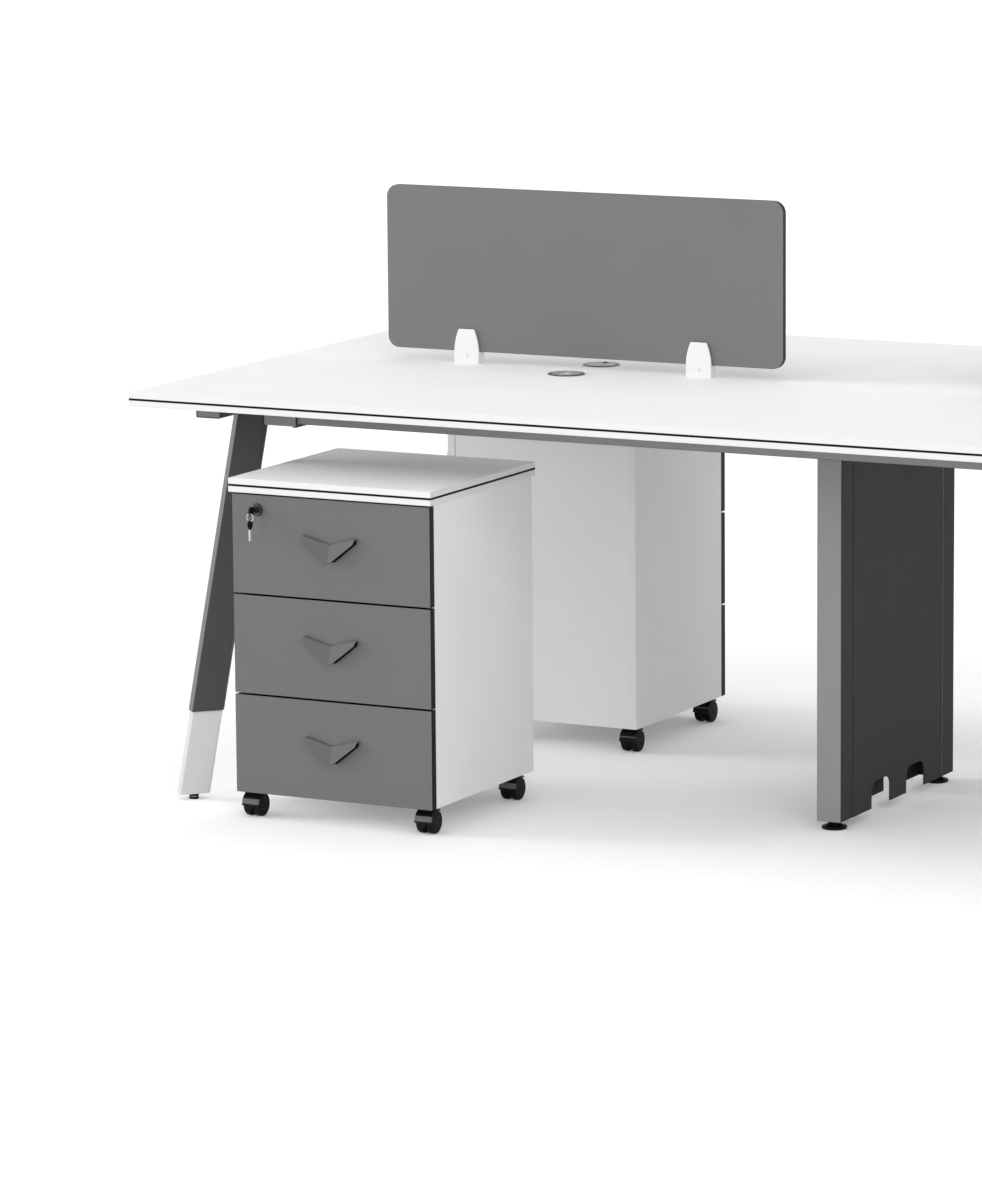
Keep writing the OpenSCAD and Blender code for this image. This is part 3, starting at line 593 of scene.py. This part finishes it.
# ---------------------------------------------------------------- cable grommets
# A dark moulded ring sits in each hole of the worktop, with a loose grey lid whose slot lets the
# cables out. The slot's walls and the barrel below it are pale.
grommet_plastic = moulded("grommet_plastic", (0.185, 0.185, 0.188), rough=0.35)
nodes = grommet_plastic.node_tree.nodes
link = grommet_plastic.node_tree.links.new
axes = nodes.new("ShaderNodeSeparateXYZ")
link(nodes["Texture Coordinate"].outputs["Object"], axes.inputs["Vector"])


def worked_out(kind, first, second=0.0):
    """One step of arithmetic on a coordinate."""
    step = nodes.new("ShaderNodeMath")
    step.operation = kind
    for slot, value in zip(step.inputs, (first, second)):
        if isinstance(value, float):
            slot.default_value = value
        else:
            link(value, slot)
    return step.outputs["Value"]


across = worked_out("SUBTRACT", worked_out("ABSOLUTE", axes.outputs["X"]), BAY_X)
along = worked_out("SUBTRACT", worked_out("ABSOLUTE", axes.outputs["Y"]), GROMMET_Y)
reach = worked_out("SQRT", worked_out("ADD", worked_out("POWER", worked_out("ABSOLUTE", across), 2.0),
                                      worked_out("POWER", worked_out("ABSOLUTE", along), 2.0)))
shader = nodes["Principled BSDF"]
lid_colour = shader.inputs["Base Color"].links[0].from_socket
ring = worked_out("GREATER_THAN", reach, 0.0268)
barrel = worked_out("LESS_THAN", axes.outputs["Z"], TOP_Z + 0.0005)
slot_wall = worked_out("MULTIPLY", worked_out("LESS_THAN", axes.outputs["Z"], TOP_Z + 0.0018),
                       worked_out("LESS_THAN", reach, 0.0266))
for mask, colour in ((ring, (0.012, 0.012, 0.0125, 1)), (barrel, (0.70, 0.70, 0.70, 1)),
                     (slot_wall, (0.86, 0.86, 0.86, 1))):
    choice = nodes.new("ShaderNodeMix")
    choice.data_type = "RGBA"
    link(mask, choice.inputs["Factor"])
    link(lid_colour, choice.inputs["A"])
    choice.inputs["B"].default_value = colour
    lid_colour = choice.outputs["Result"]
link(lid_colour, shader.inputs["Base Color"])
clad(["cable_grommets"], grommet_plastic, 0.0003)

# ---------------------------------------------------------------- pedestals
# Two mobile pedestals share one design. Each is built here on its own centre and then put in its
# place, the rear one turned half round. The carcass is white board without visible fixings, and
# pieces that are joined keep a seam as wide as SEAT.
PED_X = -0.797
PED_Y = 0.402
PED_Z = 0.047
PED_HALF = 0.197
LID_Z = 0.585
PED_REAR = 0.193
BOARD = 0.016
BEHIND_FRONTS = -0.176
STRIKE_Y = -0.167
STRIKE_H = 0.018
CASTER_X = 0.174
CASTER_Y = 0.159
SEAT = 0.0001
PLACES = {1: Matrix.Translation((PED_X, -PED_Y, 0)),
          2: Matrix.Translation((PED_X, PED_Y, 0)) @ Matrix.Rotation(math.pi, 4, "Z")}


def placed(bm, ped):
    """A copy of a pedestal part, in its place under the desk."""
    out = bm.copy()
    bmesh.ops.transform(out, matrix=PLACES[ped], verts=out.verts)
    return out


def banded(low, high, width=0.0009):
    """A small board whose narrow faces carry the edging."""
    bm = blank(low, high)
    size = [h - l for l, h in zip(low, high)]
    thin = size.index(min(size))
    ease(bm, width, 2)
    for f in bm.faces:
        f.material_index = 0 if abs(f.normal[thin]) > 0.9 else 1
    return bm


back_melamine = melamine("back_melamine", (0.755, 0.757, 0.759), rough=0.6, shine=0.15)
carcass_top = LID_Z - SEAT
inner = PED_HALF - BOARD
carcass = banded((inner, BEHIND_FRONTS, PED_Z), (PED_HALF, PED_REAR, carcass_top))
join(carcass, banded((-PED_HALF, BEHIND_FRONTS, PED_Z), (-inner, PED_REAR, carcass_top)))
inner -= SEAT
back_y = PED_REAR - BOARD
floor_board = banded((-inner, BEHIND_FRONTS, PED_Z), (inner, back_y - SEAT, PED_Z + BOARD))
bores = bmesh.new()
for x in (-CASTER_X, CASTER_X):
    for y in (-CASTER_Y, CASTER_Y):
        join(bores, shift(rod(0.0051, 0.04, 0.07, 24), x, y, 0))
join(carcass, drilled(floor_board, bores))
back = banded((-inner, back_y, PED_Z), (inner, PED_REAR - 0.0008, carcass_top))
join(carcass, painted(back, 2))
join(carcass, banded((-inner, BEHIND_FRONTS, LID_Z - STRIKE_H), (inner, STRIKE_Y, carcass_top)))
lid = lined_board((-0.202, -0.198, LID_Z), (0.202, 0.198, 0.61))
for ped in (1, 2):
    name = "ped%d" % ped
    fit(name + "_carcass_boards", placed(carcass, ped), [white_melamine, white_banding, back_melamine],
        name, [name + "_carcass"])
    fit(name + "_top_board", placed(lid, ped), [white_melamine, white_banding], name, [name + "_top"])
    clad([name + "_inlay"], pad_and_groove_shade_plastic)

# ---------------------------------------------------------------- drawer runners and boxes
# Zinc-plated rails lie on the carcass sides. The boxes are light board, with a thin base a little
# above their lower edge, and carry the moving half of each runner.
FRONT_GAP = 0.003
FRONT_H = (LID_Z - PED_Z - 3 * FRONT_GAP) / 3
RUNNER = (0.1685, 0.1745)
RUNNER_HALF = 0.015
BOX_OUT = 0.1683
BOX_IN = 0.1564
BOX_START = -0.1769
BOX_END = 0.1550
BOX_BOARD = 0.012
runner_zinc = powder_coat("runner_zinc", (0.55, 0.56, 0.57), rough=0.34, metal=1.0, peel=0.05)
box_board = melamine("box_board", (0.60, 0.60, 0.60), rough=0.5, depth=0.02)
socket_plastic = moulded("socket_plastic", (0.03, 0.03, 0.032))


def front_low(n):
    """Height at which a drawer front begins, counted from the top drawer."""
    return PED_Z + (3 - n) * (FRONT_H + FRONT_GAP)


for ped in (1, 2):
    clad(["ped%d_rails" % ped], runner_zinc, 0.0004)
    clad(["ped%d_sockets" % ped], socket_plastic, 0.0003)
for n in (1, 2, 3):
    low, high = front_low(n) + 0.018, front_low(n) + FRONT_H - 0.040
    box = bmesh.new()
    for near, far in ((-BOX_OUT, -BOX_IN), (BOX_IN, BOX_OUT)):
        join(box, banded((near, BOX_START, low), (far, BOX_END, high)))
    half = BOX_IN - SEAT
    for y in (BOX_START, BOX_END - BOX_BOARD):
        join(box, banded((-half, y, low), (half, y + BOX_BOARD, high)))
    ends = (BOX_START + BOX_BOARD + SEAT, BOX_END - BOX_BOARD - SEAT)
    join(box, banded((-half, ends[0], low + 0.006), (half, ends[1], low + 0.011), 0.0004))
    painted(box, 0)
    middle = (low + high) / 2
    runners = bmesh.new()
    for near, far in ((-RUNNER[1], -RUNNER[0]), RUNNER):
        member = blank((near, BOX_START + 0.001, middle - RUNNER_HALF),
                       (far, BOX_END, middle + RUNNER_HALF))
        ease(member, 0.0015, 3, lambda e: abs(e.verts[0].co.y - e.verts[1].co.y) > 0.1)
        join(runners, member)
    join(box, painted(runners, 1))
    for ped in (1, 2):
        name = "ped%d" % ped
        fit("%s_drawer_box_%d" % (name, n), placed(box, ped), [box_board, runner_zinc],
            "%s_drawer_%d" % (name, n), ["%s_box_%d" % (name, n)])

# ---------------------------------------------------------------- drawer fronts
# Grey melamine boards with dark edging, 3 mm apart. The top one is bored for the lock.
front_face = melamine("front_face", (0.128, 0.128, 0.130), rough=0.48, depth=0.02)
front_band = edge_band("front_band", (0.008, 0.008, 0.0085), 0.08)
FACE_Y = -0.193
LOCK = (-0.146, front_low(1) + FRONT_H - 0.026)
for n in (1, 2, 3):
    face = banded((-PED_HALF, FACE_Y, front_low(n)), (PED_HALF, FACE_Y + BOARD, front_low(n) + FRONT_H))
    if n == 1:
        face = drilled(face, shift(rod(0.0081, -0.21, -0.16, 48, "Y"), LOCK[0], 0, LOCK[1]))
    for ped in (1, 2):
        name = "ped%d" % ped
        fit("%s_front_board_%d" % (name, n), placed(face, ped), [front_face, front_band],
            "%s_drawer_%d" % (name, n), ["%s_front_%d" % (name, n)])

# ---------------------------------------------------------------- handles
# A zinc casting in the shape of a wide V. Both wings are flat and tilt towards the fold, they
# stand out most along their lower edge, and the back is hollow so that fingers reach behind. The
# hollow and the edges are painted black as painted shade, and a thin black sheet between handle
# and board shows under the edges as a painted shadow.
handle_paint = powder_coat("handle_paint", (0.122, 0.122, 0.124), rough=0.5, peel=0.05, shine=0.12)
handle_painted_shade = moulded("handle_painted_shade", (0.004, 0.004, 0.0045), rough=0.6, shine=0.08)
NOTCH_Z = 0.0075
ROOT = 0.004
SLOPE_X = 0.175676
SLOPE_Z = -0.297297
WING = [(0.0, NOTCH_Z), (0.0, -0.022), (0.007, -0.022), (0.050, 0.012), (0.053, 0.019), (0.052, 0.022)]
FINGERS = [(-0.001, -0.0015), (-0.001, -0.026), (0.013, -0.026), (0.051, 0.006), (0.041, 0.010)]


def wing_depth(x, z):
    """How far the casting stands out at a place on its outline."""
    return ROOT + SLOPE_X * x + SLOPE_Z * (z - NOTCH_Z)


def wing_solid(outline, back, thinner):
    """A flat outline drawn out from back to the tilted face, or to a little behind that face."""
    bm = bmesh.new()
    face = bm.faces.new([bm.verts.new((x, thinner - wing_depth(x, z), z)) for x, z in outline])
    drawn = bmesh.ops.extrude_face_region(bm, geom=[face])["geom"]
    for v in (v for v in drawn if isinstance(v, bmesh.types.BMVert)):
        v.co.y = back
    bmesh.ops.recalc_face_normals(bm, faces=bm.faces)
    return bm


wing = wing_solid(WING, 0.0, 0.0)
ease(wing, 0.0006, 2, lambda e: all(v.co.y < -0.0001 for v in e.verts)
     and any(v.co.x > 0.0001 for v in e.verts))
wing = drilled(wing, wing_solid(FINGERS, 0.001, 0.002))
bmesh.ops.delete(wing, geom=[f for f in wing.faces if all(abs(v.co.x) < 0.00001 for v in f.verts)],
                 context="FACES_ONLY")
bmesh.ops.mirror(wing, geom=wing.verts[:] + wing.edges[:] + wing.faces[:], axis="X", merge_dist=0.00002)
bmesh.ops.recalc_face_normals(wing, faces=wing.faces)
# Faces turning down or away from the front, the hollow and the side edges, are painted black: painted
# shade.
for f in wing.faces:
    f.material_index = 1 if f.normal.y > -0.7 and f.normal.z < 0.1 else 0
# A thin black sheet behind the casting shows beyond its lower edges: a painted shadow.
painted_shadow_sheet = bmesh.new()
PAINTED_SHADOW_SHEET = [(0.053, 0.0195), (0.0515, 0.0115), (0.008, -0.0232), (-0.008, -0.0232), (-0.0515, 0.0115),
          (-0.053, 0.0195), (0.0, 0.0065)]
sheet = painted_shadow_sheet.faces.new([painted_shadow_sheet.verts.new((x, 0, z)) for x, z in PAINTED_SHADOW_SHEET])
drawn_out(painted_shadow_sheet, [sheet], -0.0004, keep=True)
bmesh.ops.recalc_face_normals(painted_shadow_sheet, faces=painted_shadow_sheet.faces)
join(wing, painted(painted_shadow_sheet, 1))
for n in (1, 2, 3):
    pull = shift(wing.copy(), 0, FACE_Y - SEAT, front_low(n) + FRONT_H / 2 + 0.002)
    for ped in (1, 2):
        name = "ped%d" % ped
        fit("%s_pull_%d" % (name, n), placed(pull, ped), [handle_paint, handle_painted_shade],
            "%s_drawer_%d" % (name, n), ["%s_handle_%d" % (name, n)], 12)

# ---------------------------------------------------------------- lock and keys
# A black cam lock in the top front. One key stands in the plug, and its twin hangs from it on a
# wire ring. The cam behind the front swings up behind the rail under the top.
PLUG_END = -0.1635
BOW_R = 0.00825
BOW_Y = -0.215
RING_Y = BOW_Y - 0.004
RING_R = 0.0062
DROP = 0.0012
HOLE_UP = 0.0048
lock_black = powder_coat("lock_black", (0.010, 0.010, 0.011), rough=0.30, peel=0.03, shine=0.35)
lock_rim = powder_coat("lock_rim", (0.11, 0.11, 0.112), rough=0.25, metal=0.6, peel=0.03)
# The plug's own dark face; the same paint is painted shade on the inserted key's blade.
plug_face_and_painted_shade = powder_coat("plug_face_and_painted_shade", (0.030, 0.030, 0.031), rough=0.35, metal=0.3, peel=0.04, shine=0.3)
bow_plastic = moulded("bow_plastic", (0.004, 0.004, 0.0045), rough=0.4, shine=0.12)
key_nickel = powder_coat("key_nickel", (0.80, 0.80, 0.79), rough=0.30, metal=0.6, peel=0.03)
ring_nickel = powder_coat("ring_nickel", (0.60, 0.60, 0.60), rough=0.30, metal=0.3, peel=0.02)


def along_y(bm, x, z):
    """Turns a part from the Z axis onto the lock's axis."""
    bmesh.ops.rotate(bm, matrix=Matrix.Rotation(-math.pi / 2, 3, "X"), verts=bm.verts)
    return shift(bm, x, 0, z)


def flat_key(blade, side, up):
    """A key in the YZ plane, its bow centred on the origin and its blade pointing down."""
    bow = rod(BOW_R, -0.0012, 0.0012, 40, "X")
    ease(bow, 0.0006, 2)
    key = painted(drilled(bow, shift(rod(0.0023, -0.002, 0.002, 24, "X"), 0, side, up)), 0)
    collar = blank((-0.0011, -0.0040, -0.0090), (0.0011, 0.0040, -0.0060))
    ease(collar, 0.0005, 2)
    join(key, painted(collar, 0))
    tip = 0.001 - BOW_R - blade
    shank = blank((-0.0009, -0.0036, tip), (0.0009, 0.0036, -0.0088))
    teeth = bmesh.new()
    for i, depth in enumerate((0.0012, 0.0020, 0.0008, 0.0016)):
        z = tip + 0.0032 * (i + 1) - 0.0015
        join(teeth, blank((-0.002, 0.0037 - depth, z), (0.002, 0.0050, z + 0.0016)))
    join(teeth, blank((0.0006, -0.0010, tip - 0.001), (0.0020, 0.0004, -0.0120)))
    join(key, painted(drilled(shank, teeth), 1))
    return key


housing = turned([(0.00505, -0.1955), (0.0070, -0.1968), (0.0079, -0.1970), (0.0090, -0.1970),
                  (0.0098, -0.1968), (0.0107, -0.1960), (0.0110, -0.1950), (0.0110, -0.1931),
                  (0.0080, -0.1931), (0.0080, -0.1690), (0.00505, -0.1690), (0.00505, -0.1955)], 48)
for f in housing.faces:
    f.material_index = 1 if f.calc_center_median().z < -0.19695 else 0
along_y(housing, LOCK[0], LOCK[1])
plug = turned([(0, -0.1957), (0.0038, -0.1957), (0.0040, -0.1960), (0.0046, -0.1960),
               (0.0050, -0.1956), (0.0050, PLUG_END), (0, PLUG_END)])
painted(along_y(plug, LOCK[0], LOCK[1]), 3)
cam = blank((LOCK[0], -0.166, LOCK[1] - 0.005), (LOCK[0] + 0.022, PLUG_END, LOCK[1] + 0.005))
ease(cam, 0.0006, 2)
join(plug, painted(cam, 1))
inserted = flat_key(0.0135, -0.003, 0.004)
# The inserted key's nickel blade and teeth take the plug's dark paint: painted shade.
for f in inserted.faces:
    f.material_index = 3 if f.material_index == 1 else 0
bmesh.ops.rotate(inserted, matrix=Matrix.Rotation(math.pi / 2, 3, "X"), verts=inserted.verts)
join(plug, shift(inserted, LOCK[0], BOW_Y, LOCK[1]))
ring_z = LOCK[1] - 0.003 - DROP - RING_R
wire = bmesh.new()
bmesh.ops.create_circle(wire, segments=12, radius=0.0008)
bmesh.ops.rotate(wire, matrix=Matrix.Rotation(math.pi / 2, 3, "X"), verts=wire.verts)
shift(wire, RING_R, 0, 0)
bmesh.ops.spin(wire, geom=wire.verts[:] + wire.edges[:], cent=(0, 0, 0), axis=(0, 0, 1), angle=math.tau,
               steps=40, use_merge=True)
bmesh.ops.remove_doubles(wire, verts=wire.verts, dist=0.000002)
bmesh.ops.recalc_face_normals(wire, faces=wire.faces)
bmesh.ops.rotate(wire, matrix=Matrix.Rotation(math.pi / 2, 3, "X"), verts=wire.verts)
join(plug, painted(shift(wire, LOCK[0], RING_Y, ring_z), 2))
spare = flat_key(0.022, 0, HOLE_UP)
join(plug, shift(spare, LOCK[0], RING_Y, ring_z - RING_R - DROP - HOLE_UP))
for ped in (1, 2):
    name = "ped%d" % ped
    fit(name + "_lock_housing", placed(housing, ped), [lock_black, lock_rim], name + "_drawer_1",
        [name + "_lock"])
    fit(name + "_keys_on_ring", placed(plug, ped), [bow_plastic, key_nickel, ring_nickel, plug_face_and_painted_shade],
        name + "_key_turn", [name + "_key"])

# ---------------------------------------------------------------- casters
# Twin-wheel casters in black nylon. A hood bridges the two wheels and closes their front, a web
# between them holds the axle, and the steel stem turns in a socket in the carcass floor.


def nylon_with_painted_highlight(name, low, high):
    """Black nylon, with a lighter band painted across the hood's front between two heights: a painted
    highlight.
    """
    mat = moulded(name, (0.005, 0.005, 0.0055), rough=0.36, shine=0.14)
    nodes = mat.node_tree.nodes
    link = mat.node_tree.links.new
    shader = nodes["Principled BSDF"]
    axes = nodes.new("ShaderNodeSeparateXYZ")
    link(nodes["Texture Coordinate"].outputs["Object"], axes.inputs["Vector"])
    band = nodes.new("ShaderNodeMath")
    band.operation = "COMPARE"
    link(axes.outputs["Z"], band.inputs[0])
    band.inputs[1].default_value = (low + high) / 2
    band.inputs[2].default_value = (high - low) / 2
    choice = nodes.new("ShaderNodeMix")
    choice.data_type = "RGBA"
    link(band.outputs["Value"], choice.inputs["Factor"])
    link(shader.inputs["Base Color"].links[0].from_socket, choice.inputs["A"])
    choice.inputs["B"].default_value = (0.12, 0.12, 0.122, 1)
    link(choice.outputs["Result"], shader.inputs["Base Color"])
    return mat


# The front casters get a broad painted highlight band; the rear ones, in the desk's shade, a thin one.
hood_painted_highlight = {1: nylon_with_painted_highlight("hood_painted_highlight", 0.0245, 0.0335),
                2: nylon_with_painted_highlight("hood_painted_highlight_rear", 0.0295, 0.0315)}
wheel_nylon = moulded("wheel_nylon", (0.006, 0.006, 0.0065), rough=0.5, shine=0.12)
AXLE_Z = 0.021
TRAIL = -0.004

hood = bmesh.new()
BRIDGE = [(-0.0168, 0.0216), (0.0168, 0.0216), (0.0168, 0.0234), (0.0162, 0.0240), (-0.0162, 0.0240),
          (-0.0168, 0.0234)]
section = [hood.verts.new((x, -r, 0)) for x, r in BRIDGE]
start = hood.faces.new(section)
bmesh.ops.spin(hood, geom=[start] + start.edges[:] + section, cent=(0, 0, 0), axis=(1, 0, 0),
               angle=-math.radians(123), steps=24)
bmesh.ops.holes_fill(hood, edges=[e for e in hood.edges if e.is_boundary], sides=0)
bmesh.ops.recalc_face_normals(hood, faces=hood.faces)
web = rod(0.0234, -0.0040, 0.0040, 56, "X")
for place, way in (((0, 0, -0.008), (0, 0, -1)), ((0, 0.018, 0), (0, 1, 0))):
    bmesh.ops.bisect_plane(web, geom=web.verts[:] + web.edges[:] + web.faces[:], plane_co=place,
                           plane_no=way, clear_outer=True)
    bmesh.ops.holes_fill(web, edges=[e for e in web.edges if e.is_boundary], sides=0)
ease(web, 0.0006, 2)
join(hood, drilled(web, rod(0.00305, -0.02, 0.02, 32, "X")))
shift(hood, 0, TRAIL, AXLE_Z)
join(hood, turned([(0, 0.0423), (0.0080, 0.0423), (0.0080, 0.0446), (0.0074, 0.0452), (0.0040, 0.0453),
                   (0.0040, 0.0580), (0.0034, 0.0590), (0, 0.0590)], 32))

pair = bmesh.new()
for s in (-1, 1):
    wheel = turned([(0, 0.0043), (0.0198, 0.0043), (0.0207, 0.0047), (0.0210, 0.0057),
                    (0.0210, 0.0128), (0.0206, 0.0145), (0.0196, 0.0156), (0.0180, 0.0161),
                    (0.0168, 0.0161), (0.0164, 0.0154), (0.0160, 0.0154), (0.0156, 0.0160),
                    (0.0070, 0.0163), (0.0066, 0.0157), (0.0062, 0.0157), (0.0058, 0.0163),
                    (0.0020, 0.0165), (0, 0.0165)], 48)
    bmesh.ops.rotate(wheel, matrix=Matrix.Rotation(s * math.pi / 2, 3, "Y"), verts=wheel.verts)
    join(pair, wheel)
join(pair, rod(0.0030, -0.0050, 0.0050, 32, "X"))
shift(pair, 0, TRAIL, AXLE_Z)
for ped, facing in ((1, 1), (2, -1)):
    name = "ped%d" % ped
    for k in (1, 2, 3, 4):
        x = PED_X + facing * (-CASTER_X if k % 2 else CASTER_X)
        y = facing * (-PED_Y + (-CASTER_Y if k < 3 else CASTER_Y))
        fit("%s_caster_hood_%d" % (name, k), shift(hood.copy(), x, y, 0), [hood_painted_highlight[ped]],
            "%s_caster_%d" % (name, k), ["%s_hood_%d" % (name, k)], 25)
        fit("%s_caster_wheels_%d" % (name, k), shift(pair.copy(), x, y, 0), [wheel_nylon],
            "%s_wheel_%d" % (name, k), ["%s_wheels_%d" % (name, k)], 25)

# ---------------------------------------------------------------- floor and light
# A white studio floor, seen by the camera as white with the desk's soft shadow on it, lit by an
# even sky and broad lamps from both sides, the front and above.
floor = bpy.data.meshes.new("studio_floor")
sheet = bmesh.new()
bmesh.ops.create_grid(sheet, x_segments=1, y_segments=1, size=90.0)
sheet.to_mesh(floor)
sheet.free()
ground = bpy.data.objects.new("studio_floor", floor)
scene.collection.objects.link(ground)
ground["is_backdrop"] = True
paper, nodes, link, shader, _ = tree("studio_paper")
shader.inputs["Base Color"].default_value = (0.92, 0.92, 0.92, 1)
shader.inputs["Roughness"].default_value = 0.95
shader.inputs["Specular IOR Level"].default_value = 0.0
seen = nodes.new("ShaderNodeLightPath")
glow = nodes.new("ShaderNodeMath")
glow.operation = "MULTIPLY"
glow.inputs[1].default_value = 0.12
link(seen.outputs["Is Camera Ray"], glow.inputs[0])
link(glow.outputs["Value"], shader.inputs["Emission Strength"])
shader.inputs["Emission Color"].default_value = (1, 1, 1, 1)
floor.materials.append(paper)

sky = bpy.data.worlds.new("studio")
scene.world = sky
sky.use_nodes = True
nodes = sky.node_tree.nodes
link = sky.node_tree.links.new
dome = nodes["Background"]
dome.inputs["Color"].default_value = (1, 1, 1, 1)
seen = nodes.new("ShaderNodeLightPath")
either = nodes.new("ShaderNodeMath")
either.operation = "MAXIMUM"
link(seen.outputs["Is Camera Ray"], either.inputs[0])
link(seen.outputs["Is Glossy Ray"], either.inputs[1])
level = nodes.new("ShaderNodeMapRange")
level.inputs["To Min"].default_value = 0.58
level.inputs["To Max"].default_value = 1.0
link(either.outputs["Value"], level.inputs["Value"])
link(level.outputs["Result"], dome.inputs["Strength"])


def lamp(name, energy, spread_deg, aim):
    """A broad far lamp that shines along aim."""
    data = bpy.data.lights.new(name, "SUN")
    data.energy = energy
    data.angle = math.radians(spread_deg)
    bulb = bpy.data.objects.new(name, data)
    bulb.rotation_euler = Vector(aim).to_track_quat("-Z", "Y").to_euler()
    scene.collection.objects.link(bulb)


lamp("left_lamp", 1.50, 24, (1.0, 0.33, -0.27))
lamp("right_lamp", 0.78, 40, (-0.6, 0.7, -0.4))
lamp("front_left_lamp", 0.10, 40, (0.45, 0.75, -0.75))
lamp("front_lamp", 0.42, 40, (0.4, 1.0, -0.28))
lamp("overhead_lamp", 0.68, 50, (0.0, 0.0, -1.0))
scene.view_settings.view_transform = "Standard"

low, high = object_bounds()
